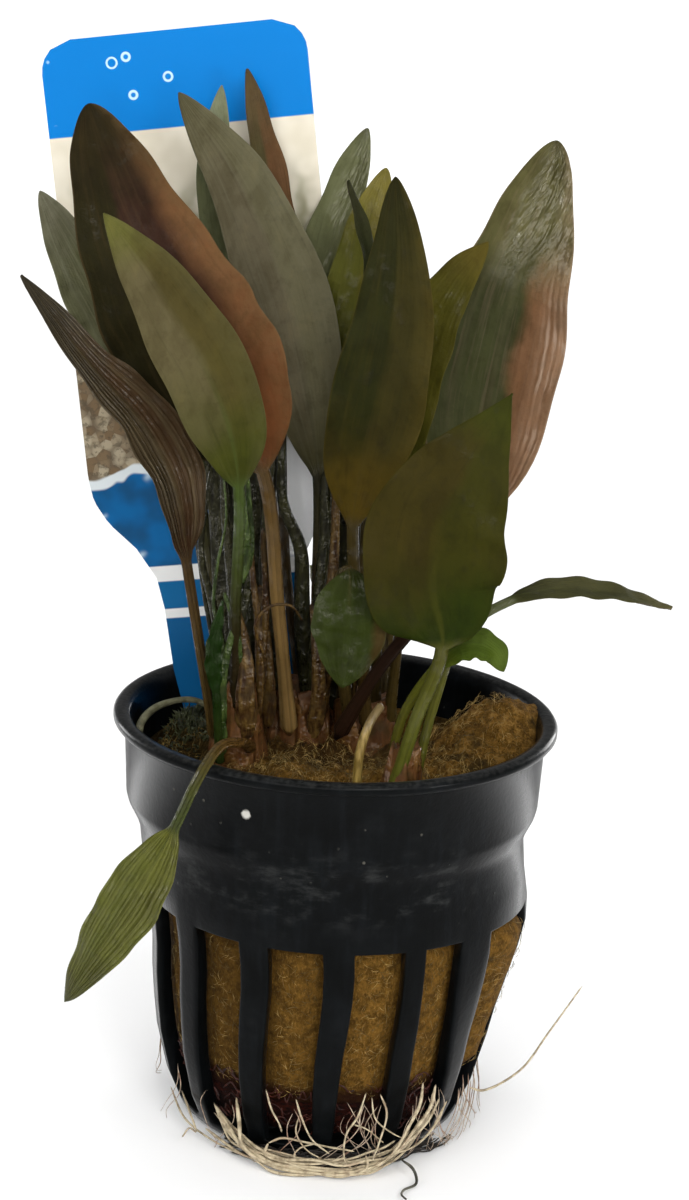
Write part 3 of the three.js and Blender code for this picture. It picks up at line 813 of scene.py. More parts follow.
        foot="#44381a", rim="#524a30",
    ),
    "leaf_back_low": dict(
        width=7.5, fold=12, face=(0, 0.4, 1),
        line=[(2, 11, 46), (1.5, 19, 56), (1, 26, 60.5), (0, 31.5, 61), (-1.5, 37, 59.5),
              (-3.5, 42.5, 56)],
        left="#464e26", right="#424a24", low="#485024", tip="#4c5028", stalk="#444e20",
        foot="#4c4a1c", rim="#5a6238",
    ),
    "leaf_back_side": dict(
        width=7.5, fold=14, face=(0.5, 0.6, 1),
        line=[(7, 4.6, 48), (6.6, 9, 62), (9.6, 11.6, 72), (13, 12.6, 77.5), (16, 14, 80.5),
              (19, 16, 81.5)],
        left="#404022", right="#443a24", low="#3c3c1c", tip="#464228", stalk="#3a341a",
        foot="#44381a", rim="#524e30",
    ),
}


def leaf_skin(name, leaf):
    """The finish follows the leaf's own map: u runs round it and v from its foot to its tip."""
    finish = Finish(name + "_skin", {"Specular IOR Level": 0.05})
    tones = {part: paint(leaf[part]) for part in LEAF_TONES if part in leaf}
    spot = finish.node("TexCoord", output="UV")
    u = finish.part(spot, "X")
    v = finish.part(spot, "Y")
    across = 0 - (u * math.tau).math("COSINE")
    side = abs(across)
    blade = 1 - ((1 - v) / (1 - NECK)) ** TIP_CROWDING
    on_blade = blade.step(-0.01, 0.05)
    under = u.step(0.49, 0.51) * u.step(1.0, 0.99) * on_blade
    where = finish.place()
    clouds = finish.grain(where, 0.16, 3)
    mottle = finish.grain(where, 0.7, 4, 0.6)
    blotches = finish.grain(finish.place((1, 1, 0.6)), 0.34, 4, 0.6)
    lengthways = finish.node("CombineXYZ", {}, {0: across * 9, 1: v * 5, 2: 0.37})
    streaks = finish.grain(lengthways, 1.4, 3, 0.6)
    bow = across * (1 + 0.12 * blade)
    ribs = (bow * 10.5).wave() ** 8
    fine_ribs = (bow * 33 + mottle * 2).wave() ** 3
    midrib = side.step(0.09, 0.02)
    border = across + (clouds - 0.5) * 0.5 - leaf["split"]
    tone = finish.mix(border.step(-0.12, 0.16), tones["left"], tones["right"])
    if "seam" in tones:
        fades = leaf["seam_to"]
        seam = border.step(-0.25, -0.05) * border.step(fades, fades - 0.4)
        tone = finish.mix(seam, tone, tones["seam"])
    toward_foot = (blade + (clouds - 0.5) * 0.3).step(leaf["low_to"], 0.0)
    if "seam" in tones or leaf["split"] > 0:
        toward_foot = toward_foot * border.step(-0.12, 0.16)
    tone = finish.mix(toward_foot, tone, tones["low"])
    tip_from = leaf["tip_from"]
    toward_tip = (blade + (mottle - 0.5) * 0.12).step(tip_from - 0.1, tip_from + 0.15)
    tone = finish.mix(toward_tip, tone, tones["tip"])
    tone = finish.mix(mottle.step(0.5, 0.75) * 0.35, tone, (0.5, 0.48, 0.38, 1), "MULTIPLY")
    tone = finish.mix(blotches.step(0.46, 0.62) * 0.5, tone, (0.62, 0.6, 0.5, 1), "MULTIPLY")
    tone = finish.mix(blotches.step(0.46, 0.3) * 0.4, tone, (1.35, 1.3, 1.2, 1), "MULTIPLY")
    tone = finish.mix(streaks.step(0.5, 0.72) * (0.06 + leaf["vein"] * 0.3), tone, tones["rim"])
    tone = finish.mix(streaks.step(0.45, 0.3) * 0.25, tone, (0.4, 0.38, 0.3, 1), "MULTIPLY")
    tone = finish.mix(ribs * leaf["vein"] * 0.5, tone, tones["rim"])
    tone = finish.mix(midrib * blade.step(0.5, 0.05) * 0.3, tone, tones["stalk"])
    pale_edge = across.step(0.45, 0.98) * mottle.step(0.2, 0.6) * leaf["edge"]
    tone = finish.mix(pale_edge, tone, tones["rim"])
    tone = finish.mix(side.step(0.96, 0.995) * 0.25, tone, tones["rim"])
    tone = finish.mix(under * 0.45, tone, paint("#4c4034"))
    stalk_tone = finish.mix((v / NECK).step(0.35, 0.95), tones["foot"], tones["stalk"])
    grooves = (u * 44).wave() * 0.2 + streaks.step(0.4, 0.7) * 0.3
    stalk_tone = finish.mix(grooves, stalk_tone, paint("#140e05"))
    tone = finish.mix(on_blade, stalk_tone, tone)
    dry = 0.62 - 0.24 * leaf["wet"]
    patches = (clouds * 0.5 + mottle * 0.5).step(dry, dry + 0.04 + 0.12 * leaf["wet"])
    relief = ribs * leaf["pleat"] * 0.8 + fine_ribs * leaf["pleat"] * 0.5 + mottle * 0.8 + clouds
    finish.feed({
        "Base Color": tone,
        "Roughness": 0.55 + mottle * 0.1,
        "Normal": finish.bump(relief, 0.0003, 0.7),
    })
    wet_stalk = (clouds * 0.4 + mottle * 0.6).step(0.44, 0.56) * 0.8
    share = finish.mix(on_blade, wet_stalk, patches * max(0, leaf["wet"] - 0.2))
    if leaf["crinkle"]:
        creased = toward_tip * across.step(-0.7, -0.1) * leaf["crinkle"]
        slant = finish.node("CombineXYZ", {}, {0: across * 5 - v * 18, 1: v * 14})
        folds = finish.grain(slant, 1.0, 2, 0.5)
        pleats = (bow * 56 + clouds * 9).wave() * across.step(0.45, 0.7)
        relief = clouds + folds * creased * 2.2 + pleats * (1 - toward_tip) * 0.4
        wet_edge = across.step(0.5, 0.8) * streaks.step(0.38, 0.58) * 0.9
        share = finish.mix(creased, wet_edge, (0.95, 0.95, 0.95, 1))
    softness = 0.12 + 0.08 * leaf["crinkle"]
    finish.film(share, tone, finish.bump(relief, 0.0004, 0.9), roughness=softness)
    return finish


def leaf_rings(leaf):
    """The stalk and blade's sections from foot to tip: centre, across, rise and sizes."""
    line = [Vector(point) for point in leaf["line"]]
    neck_at = leaf["neck"] / (len(line) - 1)
    stalk = 0.48 + leaf["width"] * 0.02
    bend = math.log(0.5) / math.log(leaf["widest"])
    face = Vector(leaf["face"]).normalized()
    rings = []
    for number in range(STALK_RINGS + BLADE_RINGS + 1):
        blade = max(0, (number - STALK_RINGS) / BLADE_RINGS)
        blade = 1 - (1 - blade) ** TIP_CROWDING
        at = neck_at + (1 - neck_at) * blade if blade else neck_at * number / STALK_RINGS
        ahead = smooth_line(line, min(1, at + 0.001)) - smooth_line(line, max(0, at - 0.001))
        ahead.normalize()
        rise = (face - ahead * face.dot(ahead)).normalized()
        taper = max(0.18, 1 - 0.82 * blade)
        toward_tip = min(1, max(0, (blade - leaf["widest"]) / (0.9 - leaf["widest"])))
        full = leaf["full"] + (leaf["tip_full"] - leaf["full"]) * toward_tip
        swell = math.sin(math.pi * blade ** bend) ** full if 0 < blade < 1 else 0
        clasp = 1 + 0.5 * max(0, 1 - number / STALK_RINGS / 0.3) ** 2
        rings.append({
            "centre": smooth_line(line, at),
            "across": ahead.cross(rise),
            "rise": rise,
            "blade": blade,
            "round": stalk * taper * clasp,
            "half": max(stalk * taper * clasp, leaf["width"] / 2 * swell),
        })
    for end in (rings[0], rings[-1]):
        end["round"] = 0
        end["half"] = 0
    return rings


def leaf_piece(name, leaf, number):
    bm = bmesh.new()
    bm.loops.layers.uv.new("leaf")
    rings_count = STALK_RINGS + BLADE_RINGS
    bmesh.ops.create_grid(bm, x_segments=AROUND, y_segments=rings_count, size=1, calc_uvs=True)
    rings = leaf_rings(leaf)
    fold = math.tan(math.radians(leaf["fold"]))
    for vertex in bm.verts:
        turn, along = on_tube(vertex)
        ring = rings[round(along * rings_count)]
        blade = ring["blade"]
        across = -math.cos(turn)
        flat = min(1, blade * 10)
        thick = ring["round"] * (1 - flat) + HALF_THICK * flat * (ring["round"] > 0)
        x = across * ring["half"]
        z = math.sin(turn) * thick
        if blade:
            rib = ring["round"] * 0.8 * bell(x, 0, 0.45 + ring["round"] * 0.5) * flat
            z -= rib if turn > math.pi else -rib * 0.25
            z += (math.hypot(x, 0.5) - 0.5) * fold * flat
            open_part = math.sin(math.pi * min(1, blade * 1.05)) ** 0.5 if blade < 0.95 else 0.2
            phase = number * 1.7 + (2.1 if across > 0 else 0)
            wave = math.sin(math.tau * leaf["waves"] * blade + phase)
            z += leaf["ruffle"] * wave * abs(across) ** 3 * open_part
            x *= 1 + 0.025 * math.sin(math.tau * leaf["waves"] * 0.7 * blade + phase + 1)
            place = Vector((x * 0.33, blade * 9, number * 3.1))
            z += leaf["quilt"] * noise.fractal(place, 0.8, 2.0, 3) * (1 - across ** 8)
        vertex.co = ring["centre"] + ring["across"] * x + ring["rise"] * z
    bmesh.ops.remove_doubles(bm, verts=bm.verts, dist=0.0005)
    bmesh.ops.recalc_face_normals(bm, faces=bm.faces)
    object_of(bm, name.replace("leaf_", "blade_"), leaf_skin(name, leaf), name)


for leaf_number, (leaf_name, leaf_facts) in enumerate(LEAVES.items()):
    leaf_piece(leaf_name, {**PLAIN_LEAF, **leaf_facts}, leaf_number)


# The crowns: short stumps of sheathed stalk feet, sunk in the wool. Old sheaths wrap them in
# brown, papery layers, wet and glinting, with ragged upper edges.
SHEATHS = 5
CROWNS = {  # foot and top, and the radius at each
    "crown_left": dict(foot=(-11.8, -4, 44.5), top=(-12.4, -4.6, 57), low=4, high=2.5),
    "crown_middle": dict(foot=(-4.6, 3.4, 45), top=(-4.8, 3.4, 54.5), low=4.8, high=3.4),
    "crown_right": dict(foot=(3.4, 4.2, 45), top=(3.2, 4.2, 53), low=5, high=3.8),
    "crown_front": dict(foot=(7.4, -16.2, 44), top=(8.6, -16, 53.5), low=3, high=1.7),
}


def sheath_skin():
    finish = Finish("stalk_sheath", {"Specular IOR Level": 0.12})
    where = finish.place()
    fibres = finish.grain(finish.place((1, 1, 0.16)), 1.7, 4, 0.6)
    clouds = finish.grain(where, 0.35, 3)
    fine = finish.grain(where, 1.8, 3)
    tone = finish.mix(fibres.step(0.25, 0.75), paint("#3a2110"), paint("#5e3e20"))
    tone = finish.mix(clouds.step(0.52, 0.68) * 0.4, tone, paint("#6a5026"))
    tone = finish.mix(clouds.step(0.45, 0.3) * 0.6, tone, paint("#2c260e"))
    normal = finish.bump(fibres * 0.5 + clouds * 1.4, 0.0005, 0.7)
    finish.feed({"Base Color": tone, "Roughness": 0.35 + fine * 0.25, "Normal": normal})
    wet = finish.bump(fibres * 0.4 + clouds * 2.2 + fine * 0.5, 0.0006, 0.8)
    finish.film(clouds.step(0.42, 0.56) * 0.95, tone, wet, roughness=0.16)
    return finish


def crown_piece(name, crown, finish, number):
    """One surface for the whole crown, stepped like overlapping sheaths with ragged rims."""
    bm = bmesh.new()
    foot = Vector(crown["foot"])
    top = Vector(crown["top"])
    axis = top - foot
    turn_up = axis.to_track_quat("Z", "Y").to_matrix()
    rows = 22
    columns = 64
    bmesh.ops.create_grid(bm, x_segments=columns, y_segments=rows, size=1)
    for vertex in bm.verts:
        turn, up = on_tube(vertex)
        height = min(1, up / 0.8)
        reach = crown["low"] * (1 - height) + crown["high"] * height
        layer = (turn * SHEATHS / math.tau + height * 0.8 + number * 0.3) % 1
        ragged = 0.5 * noise.noise(Vector((math.cos(turn) * 2, math.sin(turn) * 2, number * 5)))
        reach *= 0.86 + 0.2 * layer + 0.06 * noise.noise(Vector((turn * 3, height * 4, number)))
        if up > 0.8:
            reach *= 1 - (up - 0.8) / 0.2
            height -= (up - 0.8) * 1.2
        lift = axis.length * height * (0.93 + 0.12 * layer + 0.16 * ragged)
        vertex.co = foot + turn_up @ round_axis(reach, turn, lift)
    bmesh.ops.remove_doubles(bm, verts=bm.verts, dist=0.0005)
    bottom = [edge for edge in bm.edges if edge.is_boundary]
    bmesh.ops.holes_fill(bm, edges=bottom, sides=0)
    bmesh.ops.recalc_face_normals(bm, faces=bm.faces)
    object_of(bm, name + "_sheaths", finish, name)


sheaths = sheath_skin()
for crown_number, (crown_name, crown_facts) in enumerate(CROWNS.items()):
    crown_piece(crown_name, crown_facts, sheaths, crown_number)


# Young stalks and old sheaths: thin, wet, dark shoots and rags of dead leaf that fill the middle of
# the rosette between the crowns and the blades. Most are rooted in a crown and taper upwards.
SHOOTS = {
    "shoots_dark": ("#14150a", "#2c2b14", [  # radius, flatness, points
        (0.75, 1, [(-12.9, -5, 52), (-14.1, -6, 61), (-15.5, -6, 67), (-17, -6, 73),
                   (-16, -5.5, 84)]),
        (0.5, 1, [(-14.2, -4, 52), (-15, -4, 60), (-16.4, -4, 66.6), (-17.8, -3.5, 74)]),
        (1.2, 1, [(-3.9, 2.6, 52), (-4.8, 2, 65), (-5.3, 2, 72), (-7.7, 2, 78), (-8.1, 3, 90)]),
        (1.1, 0.6, [(-2.9, 1, 52), (-2.6, 0, 66), (-2.4, 0.4, 74), (-2.8, 1.4, 82)]),
        (1.1, 0.7, [(-2.2, 1, 52), (-2, 0, 66), (-1.6, 0.4, 71), (-1.6, 1.4, 80), (-2, 2.6, 88)]),
        (1.0, 0.8, [(-7, 3, 50), (-8.6, 2, 60), (-9.6, 1, 70), (-9.4, 0.5, 80), (-9, 0, 88)]),
        (0.9, 0.7, [(-12, -3, 52), (-12.6, -3, 60), (-13.4, -3, 69), (-14.6, -2, 78), (-15, -1, 86)]),
        (0.9, 0.7, [(-11, -2, 52), (-11, -1, 62), (-11.6, 0, 72), (-12.4, 1, 80), (-13, 2, 88)]),
        (1.4, 0.4, [(-12.6, -6, 53), (-12.9, -6.6, 60), (-12.2, -6.6, 65), (-11.2, -6, 69)]),
        (0.8, 1, [(1.2, 2.6, 50), (0.6, 1, 60), (0.8, 0, 70), (1.6, 0, 80), (1.4, 0.6, 90)]),
        (2.4, 0.16, [(-12, -1.6, 52), (-13.4, 0, 62), (-14.6, 1.4, 72), (-16, 2, 82),
                     (-17.6, 2.4, 92)]),
        (2.2, 0.16, [(-9, 1.6, 52), (-10.6, 2.4, 62), (-11.6, 3, 73), (-12, 3, 84), (-12.6, 3, 94)]),
        (2.2, 0.18, [(-7.4, 3.6, 50), (-9, 4, 60), (-10, 4, 70), (-9.8, 4, 80), (-9, 4.4, 92)]),
        (2, 0.16, [(-1.6, 4, 50), (-1, 3.6, 62), (-0.8, 3.4, 74), (-0.6, 3.6, 86), (-0.4, 4, 96)]),
        (2.0, 0.2, [(0, 4, 50), (0.2, 3.4, 62), (0.6, 3, 74), (1, 3, 86), (1.4, 3.6, 94)]),
        (2.8, 0.14, [(-8, 6, 46), (-8.6, 6.4, 54), (-9, 6.8, 62), (-9.4, 7, 70), (-9.8, 7.4, 78)]),
        (2.8, 0.14, [(-12, 5, 46), (-12.4, 5.4, 54), (-13, 6, 62), (-13.4, 6.4, 70), (-14, 7, 80)]),
        (2.2, 0.14, [(-3.6, 6.4, 46), (-3.4, 6.6, 52), (-3.2, 7, 57), (-3, 7.2, 61)]),
    ]),
    "shoots_brown": ("#2c1a0c", "#54401e", [
        (0.6, 1, [(-9.8, -6, 52), (-11.3, -7, 62.7), (-12.7, -7, 67.6), (-12.7, -7, 71),
                  (-11.6, -7, 77)]),
        (0.6, 0.7, [(-9.1, -5.4, 52), (-9.9, -6, 65), (-10.8, -6, 71), (-11.2, -6, 78)]),
        (0.8, 0.6, [(-9.6, -3.6, 52), (-9.3, -4, 60.6), (-9.1, -4, 67), (-9.8, -4, 76)]),
        (0.9, 0.7, [(-1.4, 1.6, 50), (-1.3, -1, 65), (-1.1, -1, 71.5), (-1.2, -1, 79), (-2, -1, 90)]),
        (0.55, 1, [(2, 0, 52), (2.4, -2.4, 66), (1.1, -3, 72), (0.3, -3, 79.6), (-0.5, -3, 90)]),
        (0.28, 1, [(-8.8, -6, 60), (-10.1, -7.6, 64.9), (-8.4, -8.4, 67.4), (-6.1, -8.2, 67.6),
                   (-4.4, -6, 65)]),
        (1.5, 0.3, [(-10.6, -7, 50), (-11, -8.2, 56), (-11, -8, 60), (-12, -7, 64)]),
        (1.2, 0.35, [(-8.2, -2.4, 50), (-8.6, -3, 57), (-9.2, -2.6, 63), (-10, -1, 68)]),
        (1.2, 0.35, [(-2.8, -0.4, 48), (-2.2, -1.6, 54), (-2.6, -1.6, 60), (-3.4, 0, 66)]),
    ]),
    "shoots_green": ("#1a280c", "#404e24", [
        (0.3, 1, [(-13.1, -8.4, 52), (-14, -9, 63), (-15.1, -9, 67), (-14.9, -9, 72),
                  (-14, -9, 78), (-14.6, -9, 84)]),
        (0.9, 0.5, [(-12, -9.6, 70), (-11.6, -10.6, 75), (-12, -12, 80), (-12.8, -12.8, 86)]),
        (0.5, 0.7, [(-11, -9, 72), (-11, -10, 77), (-11.4, -11.6, 82), (-12, -12.6, 88)]),
        (0.9, 0.4, [(-13.4, -7.6, 48), (-14, -8.6, 54), (-13.6, -9.2, 60), (-12.6, -9, 65)]),
        (0.6, 0.6, [(-12.2, -7.2, 58), (-12, -8.4, 62), (-12.8, -9, 66), (-14, -8.6, 69)]),
    ]),
}


def shoot_skin(name, dark, light):
    finish = Finish(name, {"Specular IOR Level": 0.12})
    where = finish.place()
    lengthways = finish.grain(finish.place((1, 1, 0.14)), 2.0, 3)
    clouds = finish.grain(where, 0.5, 3)
    fine = finish.grain(where, 1.6, 3)
    tone = finish.mix(lengthways.step(0.3, 0.72), paint(dark), paint(light))
    tone = finish.mix(clouds.step(0.5, 0.36) * 0.5, tone, paint("#15110a"))
    normal = finish.bump(lengthways * 0.6 + clouds * 1.4, 0.0004, 0.7)
    finish.feed({"Base Color": tone, "Roughness": 0.4 + fine * 0.2, "Normal": normal})
    wet = finish.bump(lengthways * 0.4 + clouds * 2 + fine * 0.5, 0.0006, 0.8)
    finish.film(clouds.step(0.4, 0.54) * 0.95, tone, wet, roughness=0.16)
    return finish


for shoot_name, (shoot_dark, shoot_light, shoot_lines) in SHOOTS.items():
    shoot_mesh = bmesh.new()
    for shoot_radius, flatness, shoot_points in shoot_lines:
        route = [Vector(point) for point in shoot_points]
        strand(shoot_mesh, route, shoot_radius, sides=12, rings=32, taper=0.6, flatness=flatness)
    shoot_finish = shoot_skin(shoot_name, shoot_dark, shoot_light)
    object_of(shoot_mesh, shoot_name, shoot_finish)


# The cut stalk: what is left of a trimmed leaf, a pale, bare, wet stalk that is rooted in the
# wool just behind the front of the lip and leans to the right.
def stalk_skin():
    gloss = {"Specular IOR Level": 0.2, "Coat Roughness": 0.15, "Coat Weight": 0.3}
    finish = Finish("cut_stalk", gloss)
    where = finish.place()
    lengthways = finish.grain(finish.place((1, 1, 0.15)), 2.2, 4)
    height = finish.part(where, "Z")
    tone = finish.mix(lengthways.step(0.4, 0.65), paint("#5c4a1c"), paint("#86703a"))
    tone = finish.mix(height.step(55, 58) * 0.8, tone, paint("#54462c"))
    finish.feed({"Base Color": tone, "Roughness": 0.35 + lengthways * 0.2,
                 "Normal": finish.bump(lengthways, 0.0003, 0.7)})
    return finish


def cut_stalk():
    bm = bmesh.new()
    points = [(3, -19.6, 46), (3, -19.3, 53), (4, -18.4, 56.6), (5.4, -16.8, 58.6)]
    strand(bm, [Vector(point) for point in points], 0.58, sides=16, rings=30, taper=0.15)
    object_of(bm, "cut_stalk", stalk_skin(), "stalk_cut")


cut_stalk()


# The roots: a dark mat in the basket's foot, and fine cream threads that come out of the front
# slots and lie round it in a bundle. One long root stands off to the right, a dark wiry one lies on
# the floor, and one arches over the wool behind the left side of the lip.
BUNDLE_STRANDS = 14
MAT_ROOTS = 420
SHADE_ROOTS_AT_FOOT = 130
BUNDLE = [
    (-12.6, -15.6, 5), (-10.6, -18.2, 3.2), (-6.6, -21.4, 1.4), (-1.6, -22.8, 1), (3.8, -23.2, 1),
    (7.6, -21.8, 1.4), (11, -19, 2.8), (14, -15.8, 6),
]
ROOTS = [  # radius and points
    (0.55, [(-9.9, -17.6, 7.6), (-9.4, -19, 5.2), (-8.8, -20.6, 2.7), (-6.4, -21.8, 1.4),
            (-1.6, -22.8, 0.9), (3.8, -23.2, 0.9)]),
    (0.5, [(-12.6, -16, 5.6), (-10.8, -18.2, 4.2), (-8.8, -20.2, 2.3), (-4.7, -22.2, 1.2),
           (0.8, -23.2, 0.8)]),
    (0.3, [(-17, -10.4, 4.6), (-15.7, -13.2, 3), (-14.8, -15, 1.4), (-15.6, -16.6, 2.6),
           (-16.4, -16.4, 1.2)]),
    (0.4, [(-13.7, -14.6, 1.7), (-11.1, -17.6, 1.4), (-8.4, -20.4, 1.2), (-3, -22, 1)]),
    (0.28, [(-6.3, -18.8, 9.4), (-5.5, -19.8, 7.3), (-4.5, -20.3, 5.7), (-4.1, -20, 4.4)]),
    (0.3, [(-2.6, -19.4, 8.6), (-1.7, -20.4, 6.4), (-0.4, -21.4, 4.3), (1.8, -22.4, 3)]),
    (0.24, [(-2, -20, 7), (-2.4, -20.8, 5), (-1.1, -21.8, 3.2), (1, -22.4, 2.2)]),
    (0.3, [(5.9, -18.8, 9.6), (5, -20.2, 7), (3.7, -21.3, 5.1), (3.7, -22.8, 2.4), (5, -23, 1.2)]),
    (0.3, [(7.6, -18.5, 9.4), (8.5, -19.8, 7.5), (7.8, -21.3, 4.5), (7, -22.7, 2.5)]),
    (0.24, [(6.6, -18.7, 9), (7.2, -19.8, 6.6), (9.3, -20.3, 5.1), (11, -19.6, 4)]),
    (0.22, [(4.4, -20, 5.9), (6.1, -20.7, 5.7), (8.3, -21.2, 4.2)]),
    (0.42, [(-5.7, -20.7, 3.2), (-6, -21.6, 2.2), (-3.9, -22.3, 1.7), (0.5, -22.9, 1.9),
            (3.8, -22.9, 2.9)]),
    (0.34, [(-5.7, -20.7, 3.2), (-4.1, -20.6, 3.9), (-1.2, -21, 3.7), (1.8, -21.6, 3.5),
            (4.8, -22, 3.3)]),
    (0.26, [(-1.7, -22.3, 1.6), (-2.5, -22, 2.3), (-1.8, -21.6, 3.2), (-0.1, -21.5, 3.8)]),
    (0.45, [(12.8, -17.2, 10.6), (12.5, -18.8, 8.3), (11.2, -20.3, 6), (9.8, -21.4, 3.5),
            (7.7, -22.7, 2), (4.4, -23.1, 1.1)]),
    (0.5, [(14.4, -16.4, 10), (13.8, -18, 7.6), (11.9, -19.8, 5.3), (10.1, -21.2, 3.3),
           (7, -22.7, 1.5)]),
    (0.4, [(15, -16, 8), (13.4, -18.3, 5.6), (10.8, -20, 3.6), (7.4, -21.4, 2.6)]),
    (0.35, [(16, -14.6, 7), (14.2, -17.4, 4.4), (12, -19.8, 3.2), (9.8, -21, 2.8)]),
    (0.55, [(-7.1, -21.2, 1.4), (-4.1, -22.6, 0.9), (-0.2, -23.2, 0.8), (3.8, -23.4, 0.9),
            (6, -22.8, 1.6)]),
    (0.4, [(6.2, -22.2, 3), (6.4, -23, 1.8), (5, -23.4, 1), (2, -23.3, 0.8)]),
    (0.3, [(-18.6, -7, 3.4), (-16.4, -12, 1.6), (-13, -16, 1), (-9, -19.6, 0.9)]),
]
noise.seed_set(4)  # without it noise_vector, which bends the bundle's strands, starts from the clock


def root_skin(name, dark, light, patches):
    finish = Finish(name, {"Specular IOR Level": 0.3, "Coat Roughness": 0.2, "Coat Weight": 0.15})
    where = finish.place()
    along = finish.grain(where, 0.4, 3)
    fine = finish.grain(where, 1.1, 2)
    tone = finish.mix(fine.step(0.3, 0.6), paint(dark), paint(light))
    tone = finish.mix(along.step(0.54, 0.66) * 0.7, tone, paint(patches))
    finish.feed({"Base Color": tone, "Roughness": 0.45 + fine * 0.2,
                 "Normal": finish.bump(fine, 0.0001, 0.5)})
    return finish


def bundle_roots():
    """The roots that run all along the foot, side by side, and the ones listed one by one."""
    bm = bmesh.new()
    centre = [Vector(point) for point in BUNDLE]
    for number in range(BUNDLE_STRANDS):
        start = draw.uniform(0, 0.3) if number % 3 else 0
        end = draw.uniform(0.65, 1) if number % 4 else 1
        spread = draw.uniform(0.2, 1.5)
        phase = draw.uniform(0, math.tau)
        twist = draw.uniform(0.5, 2)
        points = []
        for step in range(9):
            at = start + (end - start) * step / 8
            turn = phase + twist * at * 2
            aside = Vector((0, 0.4 + 0.8 * math.cos(turn), 0.3 + math.sin(turn) * 0.8)) * spread
            point = smooth_line(centre, at) + aside
            point += noise.noise_vector(point * 0.25 + Vector((number, 0, 0))) * 0.8
            point.z = max(point.z, 0.4)
            points.append(point)
        strand(bm, points, draw.uniform(0.1, 0.23), sides=7, rings=44, taper=0.3)
    for radius, line in ROOTS:
        strand(bm, [Vector(point) for point in line], radius * 0.5, sides=8, rings=40, taper=0.35)
    return bm


def slot_roots(bm, turn, number):
    """Fine roots that come down out of one slot and lie along the foot."""
    for _ in range(number):
        top_turn = turn + draw.uniform(-0.13, 0.13)
        foot_turn = top_turn + draw.uniform(-0.35, 0.35)
        top = draw.uniform(5.5, 9)
        sway = draw.uniform(-0.06, 0.06)
        points = []
        for step in range(6):
            at = step / 5
            now = top_turn + (foot_turn - top_turn) * at ** 1.5 + sway * math.sin(at * 6)
            out = 19.6 + 0.1 * top * (1 - at) + 1.6 * at * draw.uniform(0.6, 1.1)
            z = max(0.35, top * (1 - at) ** 1.2)
            points.append(round_axis(out, now, z))
        strand(bm, points, draw.uniform(0.045, 0.1), sides=5, rings=20, taper=0.5)


def tangle():
    """The mat of old dark roots in the basket's foot."""
    finish = Finish("root_mat", {"Specular IOR Level": 0.12})
    threads = finish.grain(finish.place((1, 1, 2.5)), 1.3, 5, 0.75)
    clouds = finish.grain(finish.place(), 0.3, 3)
    tone = finish.mix(threads.step(0.36, 0.68), paint("#0b0302"), paint("#4a190c"))
    tone = finish.mix(clouds.step(0.42, 0.6) * 0.7, tone, paint("#120804"))
    finish.feed({"Base Color": tone, "Roughness": 0.5 + threads * 0.3,
                 "Normal": finish.bump(threads, 0.0009, 1.0)})
    profile = [(0, 2.1), (10, 2.1), (15.2, 2.1), (15.9, 3.2), (16.6, 4.6), (17.2, 5.8), (17.5, 7.2),
               (12, 7.3), (6, 7.3), (0, 7.3)]
    bm = spun(profile, 110)
    for vertex in bm.verts:
        if vertex.co.xy.length > 12:
            vertex.co += vertex.co.normalized() * tuft(vertex.co, 1.4) * 0.3
    bmesh.ops.recalc_face_normals(bm, faces=bm.faces)
    object_of(bm, "root_mat", finish, "root_tangle")


def mat_roots(bm):
    """Thin dark roots that wind over the mat, where it shows in the slots."""
    for _ in range(MAT_ROOTS):
        turn = draw.uniform(0, math.tau)
        z = draw.uniform(2.6, 10.2)
        way = draw.uniform(-1, 1)
        points = []
        for step in range(5):
            now = turn + way * 0.05 * step
            at_z = min(10.6, max(2.4, z + 0.7 * math.sin(step * 1.7 + turn * 9)))
            out = reach_at(INNER_WALL, at_z) + draw.uniform(-0.15, 0.4)
            points.append(round_axis(out, now, at_z))
        strand(bm, points, draw.uniform(0.05, 0.14), sides=5, rings=12, taper=0.3)


def shade_roots_at_foot(bm):
    """Short near-black roots pressed down between the front of the foot and the bundle, partly painted
    shade.
    """
    for _ in range(SHADE_ROOTS_AT_FOOT):
        turn = FRONT_RIB + draw.uniform(-0.75, 0.7)
        reach = draw.uniform(18, 20.8)
        points = []
        for step in range(4):
            now = turn + 0.09 * step
            out = reach + draw.uniform(-0.4, 0.4)
            rise = draw.uniform(0.3, 0.5 + 0.35 * max(0, 21 - reach))
            points.append(round_axis(out, now, rise))
        strand(bm, points, draw.uniform(0.1, 0.22), sides=5, rings=12, taper=0.3)


